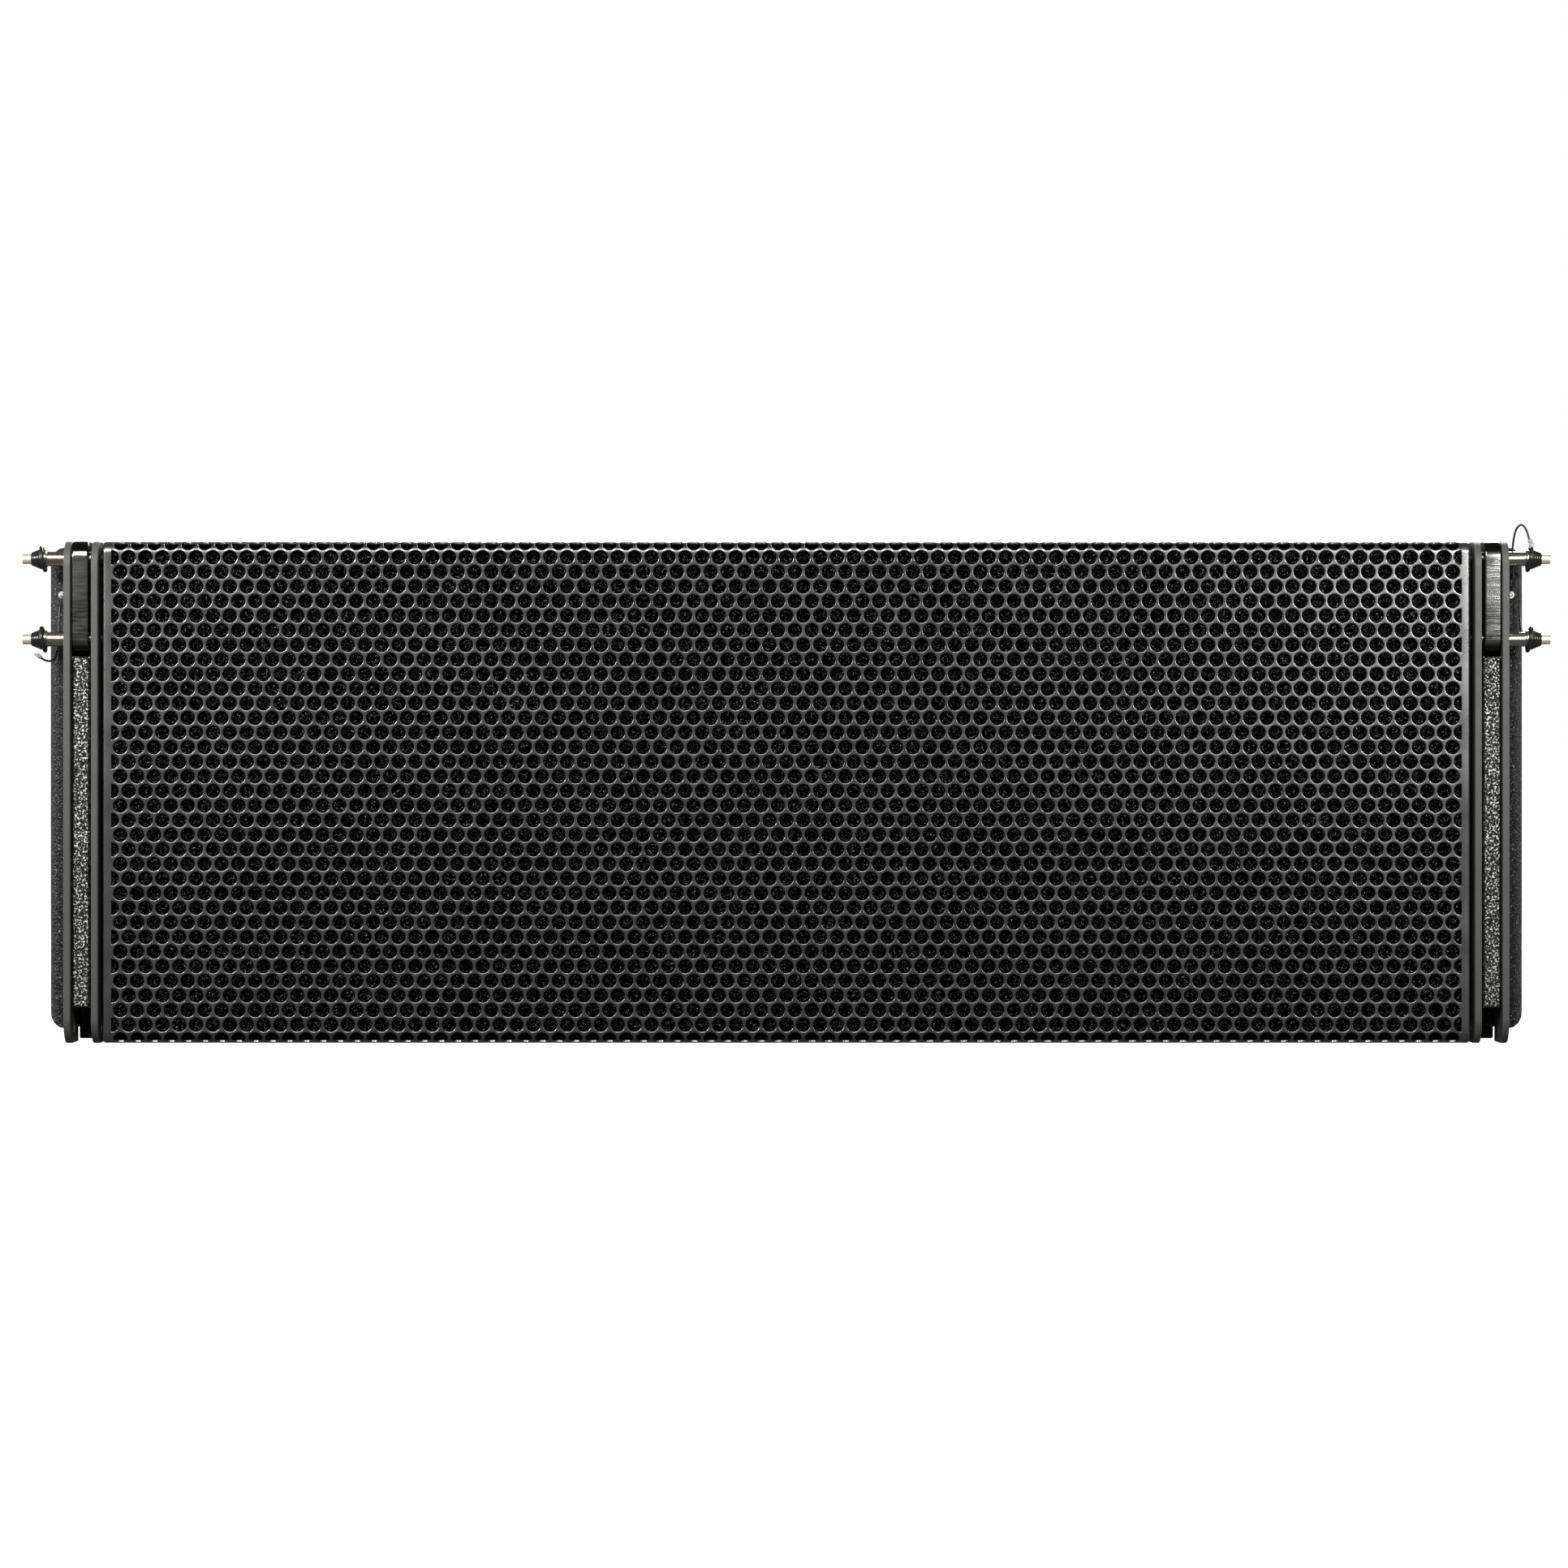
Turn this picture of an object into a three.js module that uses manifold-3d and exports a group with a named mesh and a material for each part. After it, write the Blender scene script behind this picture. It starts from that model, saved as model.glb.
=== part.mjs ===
// A line array loudspeaker: a wide, flat wedge of a cabinet with two cone woofers and a central
// waveguide behind one perforated grille. Twin steel plates at each front corner hold a sliding link
// bar and two quick-release pins; a channel at each rear corner holds the splay arm and its pin.
//
// Units are millimetres, +X is right as seen from the front, +Z is up. While the pieces are made,
// Y is the depth behind the front plane, which the front edges of the corner plates lie in. The
// whole group is then moved so that the origin is midway between front and rear.

import * as THREE from 'three';
import { mergeVertices } from 'three/addons/utils/BufferGeometryUtils.js';
import Module from 'manifold-3d';

const wasm = await Module();
wasm.setup();

// ---------------------------------------------------------------- driving dimensions

const GAP = 0.3; // clearance between pieces that touch
const FRONT_HEIGHT = 358; // height of the corner plates, which stack edge to edge
const DEPTH = 460;
const TAPER = Math.tan(THREE.MathUtils.degToRad(5)); // top and bottom each slope this much

// The wedge, measured where the side panels begin.
const SIDE_START = 45;
const WEDGE_MIDDLE = 182.1;
const WEDGE_HALF_HEIGHT = 173.1;
const BOARD = 15; // plywood of the top, the bottom and the dividers
const REAR_BOARD = 18;
const SIDE_INNER = 510;
const SIDE_OUTER = 530.5;
const SIDE_EDGE_RADIUS = 12;

// Corner plates and the channel between them.
const PLATE = 5;
const INNER_PLATE_X = 489.8;
const OUTER_PLATE_X = 509.4;
const PLATE_CORNER = 18;
const PLATE_TAB_DEPTH = 48; // full height up to here, then the tail runs inside the cabinet
const PLATE_TAIL_DEPTH = 110;
const PLATE_TAIL_Z = [32, 332];
const SPACER_X = [496.3, 508.7];
const SPACER_FRONT = 5;
const SPACER_BEHIND_LINK = 47.6;
const SPACER_Z = [25.5, 275.5]; // its full front; behind the link bars it runs further up and down
const SPACER_ENDS_Z = [2, 357.4];

// Pins and the front link.
const PIN_DEPTH = 25; // pin axes behind the front plane
const PIN_RADIUS = 5;
const PIN_HOLE_RADIUS = PIN_RADIUS + GAP;
const PIN_TIP_X = 487.4;
const UPPER_PIN_Z = FRONT_HEIGHT - 12;
const LOWER_PIN_Z = 288.5;
const BOTTOM_HOLE_Z = 12;
const LINK_TRAVEL = 24; // lifts the link's eye to the bottom hole of the cabinet above
const LINK_X = [497.1, 509.1];
const LINK_DEPTH = [3, 47];
const LINK_CORNER = 12;
const LINK_Z = [LOWER_PIN_Z - LINK_CORNER, UPPER_PIN_Z + LINK_CORNER];
const PIN_HEAD_X = OUTER_PLATE_X + PLATE + GAP; // the pin's shoulder bears on the plate here
const PIN_BARREL_RADIUS = 5.2;
const PIN_FLANGE_RADIUS = 9.6;
const PIN_BORE_DEPTH = 18; // from the shoulder
const PIN_LENGTH = 25.6; // from the shoulder
const PIN_SIDES = 12;
const BUTTON_RADIUS = 3.6;
const BUTTON_REACH = 31.9; // from the shoulder
const BUTTON_TRAVEL = 3;

// Lanyards.
const LANYARD_RADIUS = 0.75;
const LANYARD_SIDES = 8;
const ANCHOR = { x: 520.9, depth: 41.2, z: 321, radius: 2.6 };

// Baffle, grille and foam.
const BAFFLE_FRONT = 32;
const BAFFLE_BACK = 50;
const BAFFLE_HALF_WIDTH = INNER_PLATE_X - GAP;
const BAFFLE_Z = [0.5, FRONT_HEIGHT - 0.5];
const BOARDS_START = BAFFLE_BACK + GAP;
const GRILLE_FRONT = 1.5;
const GRILLE_SHEET = 1.5;
const GRILLE_HALF_WIDTH = 486.6;
const GRILLE_BEND = 8;
const GRILLE_SIDE_FLANGE = 12;
const FOAM_THICKNESS = 6;

// Woofers: depth and radius of each part of the driver.
const WOOFER_X = 330;
const WOOFER_CUTOUT_RADIUS = 141;
const WOOFER_SEGMENTS = 24;
const FLANGE_FRONT = 23.7;
const MAGNET_FRONT = 118.3;
const MAGNET_RADIUS = 85;

// Central section.
const DIVIDER_X = [165, 180];
const MOUTH_HALF_WIDTH = 126;
const WAVEGUIDE_Z = [37, 327];
const THROAT_DEPTH = 150;
const DRIVER_OFFSET = 70; // compression drivers above and below the middle

// Rear rigging.
const BRACKET_FRONT = 400;
const BRACKET_Z = [46, 318];
const ARM_Z = [112, 316];
const ARM_X = [496.1, 508.1];
const ARM_CORNER = 12;
const ARM_DEPTH = [409, 449];
const ARM_TRAVEL = 126; // reaches the cabinet above when there is no splay between them
const ARM_SLOT_DEPTH = 418;
const ARM_BOLT_Z = 250;
const ARM_EYE = { depth: 429, fromTop: 14 };
const ARM_HOLE_STEP = 14.2; // two degrees of splay
const ARM_HOLES = 6;
const LOCK_Z = 300;
const NEXT_ARM_Z = 70; // the arm of the cabinet below is pinned here
const ARM_HOLE_DEPTH = 436;
const REAR_PIN_Z = ARM_Z[0] - GAP - PIN_RADIUS;

// Side handles and rear connector plate.
const HANDLE_DEPTH = [200, 350];
const HANDLE_Z = [132, 232];
const HANDLE_BOTTOM_X = 466;
const HANDLE_CORNER = 20;
const HANDLE_RIM = 10;
const HANDLE_RIM_DEPTH = 3;
const HANDLE_WALL = 2.5;
const GRIP = { x: 514, z: 197, radius: 10 };
const CONNECTOR_SIZE = [250, 130];
const CONNECTOR_OPENING = [220, 100];
const CONNECTOR_DEPTH = 450; // front of the recess that the plate lies in
const PANEL_CORNER = 6;
const SOCKET_X = 55;
const SOCKET = { flange: 44, plate: 3, barrel: 16.5, well: 13.5, depth: 26 };
const CROSSOVER = { halfWidth: 80, halfHeight: 50, thickness: 2, behind: 22 };

const X = new THREE.Vector3(1, 0, 0);
const Y = new THREE.Vector3(0, 1, 0);
const Z = new THREE.Vector3(0, 0, 1);

// ---------------------------------------------------------------- materials

const paint = (color, roughness, metalness = 0) =>
  new THREE.MeshStandardMaterial({ color, roughness, metalness });

const texturedBlack = () => paint(0x141414, 0.75);
const plateCoat = () => paint(0x50504c, 0.62, 0.3);
const grillePaint = () => paint(0x5c5c5a, 0.5, 0.4);
const foamBlack = () => paint(0x0a0a0a, 1);
const bareSteel = () => paint(0x9a9894, 0.35, 1);
const pinSteel = () => paint(0x8c867c, 0.3, 1);
const buttonMetal = () => paint(0xb79c86, 0.25, 1);
const blackPlastic = () => paint(0x101010, 0.4);
const paperCone = () => paint(0x1a1a1c, 0.85);
const rubberBlack = () => paint(0x121212, 0.8);
const rawPlywood = () => paint(0x8a6a48, 0.8);
const circuitGreen = () => paint(0x1f4a30, 0.5);

// ---------------------------------------------------------------- geometry helpers

/** Top and bottom of the wedge at a depth. */
const wedgeTop = (depth) => WEDGE_MIDDLE + WEDGE_HALF_HEIGHT - TAPER * (depth - SIDE_START);
const wedgeBottom = (depth) => WEDGE_MIDDLE - WEDGE_HALF_HEIGHT + TAPER * (depth - SIDE_START);

function polygon(points) {
  return new THREE.Shape(points.map(([u, v]) => new THREE.Vector2(u, v)));
}

/** A rectangle between two corners, with rounded corners where radius is over 0. */
function roundedRectangle(u0, v0, u1, v1, radius) {
  const outline = new THREE.Shape();
  outline.absarc(u1 - radius, v0 + radius, radius, -Math.PI / 2, 0);
  outline.absarc(u1 - radius, v1 - radius, radius, 0, Math.PI / 2);
  outline.absarc(u0 + radius, v1 - radius, radius, Math.PI / 2, Math.PI);
  outline.absarc(u0 + radius, v0 + radius, radius, Math.PI, 1.5 * Math.PI);
  outline.closePath();
  return outline;
}

/** A rounded rectangle about the wedge's middle height, from its half width and half height. */
function centredRectangle(x, halfWidth, halfHeight, radius) {
  return roundedRectangle(
    x - halfWidth, WEDGE_MIDDLE - halfHeight, x + halfWidth, WEDGE_MIDDLE + halfHeight, radius);
}

/** A slot whose round ends are centred on (u, v0) and (u, v1). */
function slotOutline(u, v0, v1, radius) {
  const outline = new THREE.Shape();
  outline.absarc(u, v1, radius, 0, Math.PI);
  outline.absarc(u, v0, radius, Math.PI, 2 * Math.PI);
  outline.closePath();
  return outline;
}

function circleOutline(u, v, radius) {
  const outline = new THREE.Shape();
  outline.absarc(u, v, radius, 0, Math.PI);
  outline.absarc(u, v, radius, Math.PI, 2 * Math.PI);
  return outline;
}

function extrude(outline, depth, basis, options) {
  const settings = { depth, bevelEnabled: false, curveSegments: 3, ...options };
  const geometry = new THREE.ExtrudeGeometry(outline, settings);
  return geometry.applyMatrix4(new THREE.Matrix4().makeBasis(...basis));
}

/** An outline in (depth, height), carried across the width from x0 to x1. */
function acrossWidth(outline, x0, x1, options = {}) {
  return extrude(outline, x1 - x0, [Y, Z, X], options).translate(x0, 0, 0);
}

/** An outline in (width, height), carried back from depth d0 to depth d1. */
function alongDepth(outline, d0, d1, options = {}) {
  return extrude(outline, d1 - d0, [X, Z, Y.clone().negate()], options).translate(0, d1, 0);
}

/** An outline in (width, depth), carried up from z0 to z1. */
function alongHeight(outline, z0, z1, options = {}) {
  return extrude(outline, z1 - z0, [X, Y, Z], options).translate(0, 0, z0);
}

function box(x0, x1, y0, y1, z0, z1) {
  const geometry = new THREE.BoxGeometry(x1 - x0, y1 - y0, z1 - z0);
  return geometry.translate((x0 + x1) / 2, (y0 + y1) / 2, (z0 + z1) / 2);
}

/** A solid turned about the depth axis from (radius, depth) points, listed front to back outside. */
function turnedAlongDepth(profile, x, z, segments) {
  const points = profile.map(([radius, depth]) => new THREE.Vector2(radius, depth));
  return new THREE.LatheGeometry(points, segments).translate(x, 0, z);
}

/** A solid turned about the width axis; the profile's second number is the distance out from x = 0. */
function turnedAlongWidth(profile, side, depth, z, segments) {
  const points = profile.map(([radius, out]) => new THREE.Vector2(radius, out));
  const geometry = new THREE.LatheGeometry(points, segments);
  return geometry.rotateZ(-side * Math.PI / 2).translate(0, depth, z);
}

function toSolid(geometry) {
  const bare = geometry.clone();
  bare.deleteAttribute('normal');
  bare.deleteAttribute('uv');
  const welded = mergeVertices(bare, 1e-3);
  const triangles = [];
  for (let i = 0; i < welded.index.count; i += 3) {
    const corners = [0, 1, 2].map((k) => welded.index.getX(i + k));
    if (new Set(corners).size === 3) triangles.push(...corners);
  }
  return new wasm.Manifold(new wasm.Mesh({
    numProp: 3,
    vertProperties: new Float32Array(welded.attributes.position.array),
    triVerts: new Uint32Array(triangles),
  }));
}

function toGeometry(solid) {
  const mesh = solid.getMesh();
  const geometry = new THREE.BufferGeometry();
  geometry.setAttribute('position', new THREE.BufferAttribute(mesh.vertProperties, 3));
  geometry.setIndex(new THREE.BufferAttribute(mesh.triVerts, 1));
  return geometry;
}

function cut(body, ...tools) {
  const solid = tools.reduce((left, tool) => left.subtract(toSolid(tool)), toSolid(body));
  return toGeometry(solid);
}

function join(...bodies) {
  const solid = bodies.map(toSolid).reduce((all, next) => all.add(next));
  return toGeometry(solid);
}

/** Low and high x of a span on the given side, +1 right or -1 left. */
const onSide = (side, near, far) => (side > 0 ? [near, far] : [-far, -near]);
const sideName = (side) => (side > 0 ? 'right' : 'left');

// ---------------------------------------------------------------- assembly

const lineArray = new THREE.Group();
lineArray.position.y = -DEPTH / 2;

function add(name, geometry, material) {
  const mesh = new THREE.Mesh(geometry, material);
  mesh.name = name;
  lineArray.add(mesh);
}

// ---------------------------------------------------------------- cabinet

/** Top or bottom board; the rear corners are notched for the rear brackets. */
function levelBoard(edge, inward) {
  const outline = polygon([
    [BOARDS_START, edge(BOARDS_START)],
    [DEPTH, edge(DEPTH)],
    [DEPTH, edge(DEPTH) + inward * BOARD],
    [BOARDS_START, edge(BOARDS_START) + inward * BOARD],
  ]);
  const reach = SIDE_INNER - GAP;
  const notches = [-1, 1].map((side) => {
    const [x0, x1] = onSide(side, BAFFLE_HALF_WIDTH, reach + 1);
    return box(x0, x1, BRACKET_FRONT - GAP, DEPTH + 1, 0, FRONT_HEIGHT);
  });
  return cut(acrossWidth(outline, -reach, reach), ...notches);
}

function sidePanel(side) {
  const outline = polygon([
    [SIDE_START, wedgeBottom(SIDE_START)],
    [DEPTH, wedgeBottom(DEPTH)],
    [DEPTH, wedgeTop(DEPTH)],
    [SIDE_START, wedgeTop(SIDE_START)],
  ]);
  const rounding = {
    depth: SIDE_OUTER - SIDE_INNER - SIDE_EDGE_RADIUS,
    bevelEnabled: true,
    bevelThickness: SIDE_EDGE_RADIUS,
    bevelSize: SIDE_EDGE_RADIUS,
    bevelOffset: -SIDE_EDGE_RADIUS,
    bevelSegments: 4,
  };
  const [from] = onSide(side, SIDE_INNER, SIDE_OUTER - SIDE_EDGE_RADIUS);
  const rounded = acrossWidth(outline, from, 0, rounding);
  const plateReach = OUTER_PLATE_X + PLATE + GAP;
  const [r0, r1] = onSide(side, SIDE_INNER - SIDE_EDGE_RADIUS - 1, plateReach);
  const [t0, t1] = onSide(side, SIDE_INNER - SIDE_EDGE_RADIUS - 1, SIDE_INNER);
  const [c0, c1] = onSide(side, SIDE_INNER - 1, SIDE_OUTER + 1);
  const rimX = onSide(side, SIDE_OUTER - HANDLE_RIM_DEPTH, SIDE_OUTER + 1);
  return cut(
    rounded,
    box(t0, t1, 0, DEPTH + 1, 0, FRONT_HEIGHT),
    box(r0, r1, 0, PLATE_TAB_DEPTH + GAP, 0, FRONT_HEIGHT),
    box(r0, r1, 0, PLATE_TAIL_DEPTH + GAP, PLATE_TAIL_Z[0] - GAP, PLATE_TAIL_Z[1] + GAP),
    box(r0, r1, BRACKET_FRONT - GAP, DEPTH + 1, 0, FRONT_HEIGHT),
    acrossWidth(pinAccessOutline(), c0, c1),
    acrossWidth(handleOutline(0), c0, c1),
    acrossWidth(handleOutline(-HANDLE_RIM), ...rimX),
  );
}

/** Notch in the side panel that leaves the heads of the rear pins in reach. */
function pinAccessOutline() {
  return roundedRectangle(ARM_HOLE_DEPTH - 20, NEXT_ARM_Z - 12, DEPTH + 30, LOCK_Z + 6, 10);
}

function rearPanel() {
  const front = DEPTH - REAR_BOARD;
  const inset = BOARD + GAP;
  const outline = polygon([
    [front, wedgeBottom(front) + inset + 0.1],
    [DEPTH, wedgeBottom(DEPTH) + inset],
    [DEPTH, wedgeTop(DEPTH) - inset],
    [front, wedgeTop(front) - inset - 0.1],
  ]);
  const [width, height] = CONNECTOR_SIZE.map((size) => size / 2 + GAP);
  const [openWidth, openHeight] = CONNECTOR_OPENING.map((size) => size / 2);
  const recess = centredRectangle(0, width, height, PANEL_CORNER);
  const opening = centredRectangle(0, openWidth, openHeight, PANEL_CORNER);
  return cut(
    acrossWidth(outline, -BAFFLE_HALF_WIDTH, BAFFLE_HALF_WIDTH),
    alongDepth(recess, CONNECTOR_DEPTH, DEPTH + 1),
    alongDepth(opening, front - 1, DEPTH),
  );
}

function frontBaffle() {
  const outline = polygon([
    [BAFFLE_FRONT, BAFFLE_Z[0]],
    [BAFFLE_BACK, wedgeBottom(BAFFLE_BACK)],
    [BAFFLE_BACK, wedgeTop(BAFFLE_BACK)],
    [BAFFLE_FRONT, BAFFLE_Z[1]],
  ]);
  const through = [BAFFLE_FRONT - 1, BAFFLE_BACK + 1];
  const cutouts = [-1, 1].map((side) => {
    const hole = circleOutline(side * WOOFER_X, WEDGE_MIDDLE, WOOFER_CUTOUT_RADIUS);
    return alongDepth(hole, ...through, { curveSegments: WOOFER_SEGMENTS / 4 });
  });
  const reach = MOUTH_HALF_WIDTH + GAP;
  const mouth = box(-reach, reach, ...through, WAVEGUIDE_Z[0] - GAP, WAVEGUIDE_Z[1] + GAP);
  return cut(acrossWidth(outline, -BAFFLE_HALF_WIDTH, BAFFLE_HALF_WIDTH), ...cutouts, mouth);
}

function divider(side) {
  const back = DEPTH - REAR_BOARD - GAP;
  const inset = BOARD + GAP;
  const outline = polygon([
    [BOARDS_START, wedgeBottom(BOARDS_START) + inset],
    [back, wedgeBottom(back) + inset],
    [back, wedgeTop(back) - inset],
    [BOARDS_START, wedgeTop(BOARDS_START) - inset],
  ]);
  return acrossWidth(outline, ...onSide(side, ...DIVIDER_X));
}

/** The handle's opening; a negative inset is the larger outline of the rim around it. */
function handleOutline(inset) {
  const [d0, d1] = HANDLE_DEPTH;
  const [z0, z1] = HANDLE_Z;
  return roundedRectangle(d0 + inset, z0 + inset, d1 - inset, z1 - inset, HANDLE_CORNER);
}

function addCabinet() {
  add('top_panel', levelBoard(wedgeTop, -1), texturedBlack());
  add('bottom_panel', levelBoard(wedgeBottom, 1), texturedBlack());
  add('rear_panel', rearPanel(), texturedBlack());
  add('front_baffle', frontBaffle(), texturedBlack());
  for (const side of [-1, 1]) {
    add(`side_panel_${sideName(side)}`, sidePanel(side), texturedBlack());
    add(`divider_${sideName(side)}`, divider(side), rawPlywood());
  }
}

// ---------------------------------------------------------------- grille and foam

/** The tray's section in (depth, height): the outer face, or the inner one at the given thickness. */
function trayOutline(thickness, back) {
  const [low, high] = [BAFFLE_Z[0] + thickness, BAFFLE_Z[1] - thickness];
  const front = GRILLE_FRONT + thickness;
  const radius = GRILLE_BEND - thickness;
  const outline = new THREE.Shape();
  outline.absarc(front + radius, high - radius, radius, Math.PI / 2, Math.PI);
  outline.absarc(front + radius, low + radius, radius, Math.PI, 1.5 * Math.PI);
  outline.lineTo(back, low);
  outline.lineTo(back, high);
  outline.closePath();
  return outline;
}

/** A bent tray of sheet: the front, a deep flange along top and bottom, a short one at each side. */
function grille() {
  const back = BAFFLE_FRONT - GAP;
  const inner = GRILLE_HALF_WIDTH - GRILLE_SHEET;
  const [low, high] = [BAFFLE_Z[0] + GRILLE_SHEET, BAFFLE_Z[1] - GRILLE_SHEET];
  const sideCuts = [-1, 1].map((side) => {
    const [x0, x1] = onSide(side, inner - 1, GRILLE_HALF_WIDTH + 1);
    return box(x0, x1, GRILLE_FRONT + GRILLE_SIDE_FLANGE, back + 1, low, high);
  });
  return cut(
    acrossWidth(trayOutline(0, back), -GRILLE_HALF_WIDTH, GRILLE_HALF_WIDTH),
    acrossWidth(trayOutline(GRILLE_SHEET, back + 1), -inner, inner),
    ...sideCuts,
  );
}

function grilleFoam() {
  const front = GRILLE_FRONT + GRILLE_SHEET + GAP;
  const reach = GRILLE_HALF_WIDTH - GRILLE_SHEET - 2;
  const [low, high] = [BAFFLE_Z[0] + GRILLE_BEND, BAFFLE_Z[1] - GRILLE_BEND];
  return box(-reach, reach, front, front + FOAM_THICKNESS, low, high);
}

// ---------------------------------------------------------------- loudspeaker drivers

function addWoofer(side) {
  const name = sideName(side);
  const turned = (profile) =>
    turnedAlongDepth(profile, side * WOOFER_X, WEDGE_MIDDLE, WOOFER_SEGMENTS);
  const basket = [
    [136, FLANGE_FRONT], [153, FLANGE_FRONT], [153, 31.7], [139.8, 31.7], [138.5, 62],
    [72, 118], [46, 118], [46, 114], [70, 114], [136, 30], [136, FLANGE_FRONT],
  ];
  const magnet = [
    [0, MAGNET_FRONT], [35.5, MAGNET_FRONT], [35.5, 138], [39.5, 138], [39.5, MAGNET_FRONT],
    [MAGNET_RADIUS, MAGNET_FRONT], [MAGNET_RADIUS, 165], [0, 165],
  ];
  const cone = [
    [0, 74], [20, 76.5], [37, 84], [114, 27], [117, 24.5], [117, 27],
    [38.2, 87], [38.2, 128], [36.8, 128], [36.8, 87], [20, 79], [0, 76.5],
  ];
  add(`woofer_basket_${name}`, turned(basket), paint(0x202022, 0.5, 0.6));
  add(`woofer_magnet_${name}`, turned(magnet), paint(0x2a2a2c, 0.45, 0.8));
  add(`woofer_cone_${name}`, turned(cone), paperCone());
  add(`woofer_surround_${name}`, turned(surroundProfile()), rubberBlack());
}

/** The half roll that joins the cone's edge to the basket, as a closed loop of (radius, depth). */
function surroundProfile() {
  const middle = { radius: 126.5, depth: 25 };
  const steps = 4;
  const arc = (size, backwards) => Array.from({ length: steps + 1 }, (_, i) => {
    const turn = Math.PI * (backwards ? 1 - i / steps : i / steps);
    return [middle.radius - size * Math.cos(turn), middle.depth - size * Math.sin(turn)];
  });
  const loop = [...arc(9.2, false), ...arc(8.2, true)];
  return [...loop, loop[0]];
}

/** A horn with a tall rectangular mouth that narrows to a slit fed by two round throats. */
function waveguide() {
  const wall = 8;
  const mouthFront = 26;
  const throatHalf = 10;
  const throatPlate = 12;
  const [low, high] = WAVEGUIDE_Z;
  const throat = THROAT_DEPTH - throatPlate;
  const shell = polygon([
    [-MOUTH_HALF_WIDTH, mouthFront], [MOUTH_HALF_WIDTH, mouthFront], [MOUTH_HALF_WIDTH, 52],
    [38, THROAT_DEPTH], [-38, THROAT_DEPTH], [-MOUTH_HALF_WIDTH, 52],
  ]);
  const flare = polygon([
    [-MOUTH_HALF_WIDTH + wall, mouthFront - 1], [MOUTH_HALF_WIDTH - wall, mouthFront - 1],
    [throatHalf, throat], [-throatHalf, throat],
  ]);
  const rim = box(-138, 138, mouthFront, BAFFLE_FRONT - GAP, low - 8, high + 8);
  const throats = [-1, 1].map((end) => {
    const hole = circleOutline(0, WEDGE_MIDDLE + end * DRIVER_OFFSET, 9);
    return alongDepth(hole, throat - 5, THROAT_DEPTH + 1);
  });
  const hollow = alongHeight(flare, low + wall, high - wall);
  return cut(join(alongHeight(shell, low, high), rim), hollow, ...throats);
}

function compressionDriver(end) {
  const front = THROAT_DEPTH + GAP;
  const profile = [
    [0, front], [36, front], [36, front + 10], [55, front + 14],
    [55, front + 48], [44, front + 55], [0, front + 55],
  ];
  return turnedAlongDepth(profile, 0, WEDGE_MIDDLE + end * DRIVER_OFFSET, 20);
}

function addDrivers() {
  addWoofer(-1);
  addWoofer(1);
  add('waveguide', waveguide(), blackPlastic());
  add('hf_driver_lower', compressionDriver(-1), paint(0x2a2a2c, 0.45, 0.8));
  add('hf_driver_upper', compressionDriver(1), paint(0x2a2a2c, 0.45, 0.8));
}

// ---------------------------------------------------------------- front rigging

/** Full-height tab with rounded front corners, and the tail that is bolted inside the cabinet. */
function cornerPlateOutline() {
  const outline = new THREE.Shape();
  outline.absarc(PLATE_CORNER, FRONT_HEIGHT - PLATE_CORNER, PLATE_CORNER, Math.PI / 2, Math.PI);
  outline.absarc(PLATE_CORNER, PLATE_CORNER, PLATE_CORNER, Math.PI, 1.5 * Math.PI);
  outline.lineTo(PLATE_TAB_DEPTH, 0);
  outline.lineTo(PLATE_TAB_DEPTH, PLATE_TAIL_Z[0]);
  outline.lineTo(PLATE_TAIL_DEPTH, PLATE_TAIL_Z[0]);
  outline.lineTo(PLATE_TAIL_DEPTH, PLATE_TAIL_Z[1]);
  outline.lineTo(PLATE_TAB_DEPTH, PLATE_TAIL_Z[1]);
  outline.lineTo(PLATE_TAB_DEPTH, FRONT_HEIGHT);
  outline.closePath();
  for (const height of [BOTTOM_HOLE_Z, LOWER_PIN_Z, UPPER_PIN_Z]) {
    outline.holes.push(circleOutline(PIN_DEPTH, height, PIN_HOLE_RADIUS));
  }
  return outline;
}

/** Fills the channel between the plates and leaves room for the link bars above and below it. */
function spacerOutline() {
  const [foot, head] = SPACER_ENDS_Z;
  return polygon([
    [SPACER_FRONT, SPACER_Z[0]], [SPACER_BEHIND_LINK, SPACER_Z[0]], [SPACER_BEHIND_LINK, foot],
    [BAFFLE_BACK, foot], [BAFFLE_BACK, PLATE_TAIL_Z[0]], [PLATE_TAIL_DEPTH, PLATE_TAIL_Z[0]],
    [PLATE_TAIL_DEPTH, PLATE_TAIL_Z[1]], [BAFFLE_BACK, PLATE_TAIL_Z[1]], [BAFFLE_BACK, head],
    [SPACER_BEHIND_LINK, head], [SPACER_BEHIND_LINK, SPACER_Z[1]], [SPACER_FRONT, SPACER_Z[1]],
  ]);
}

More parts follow.
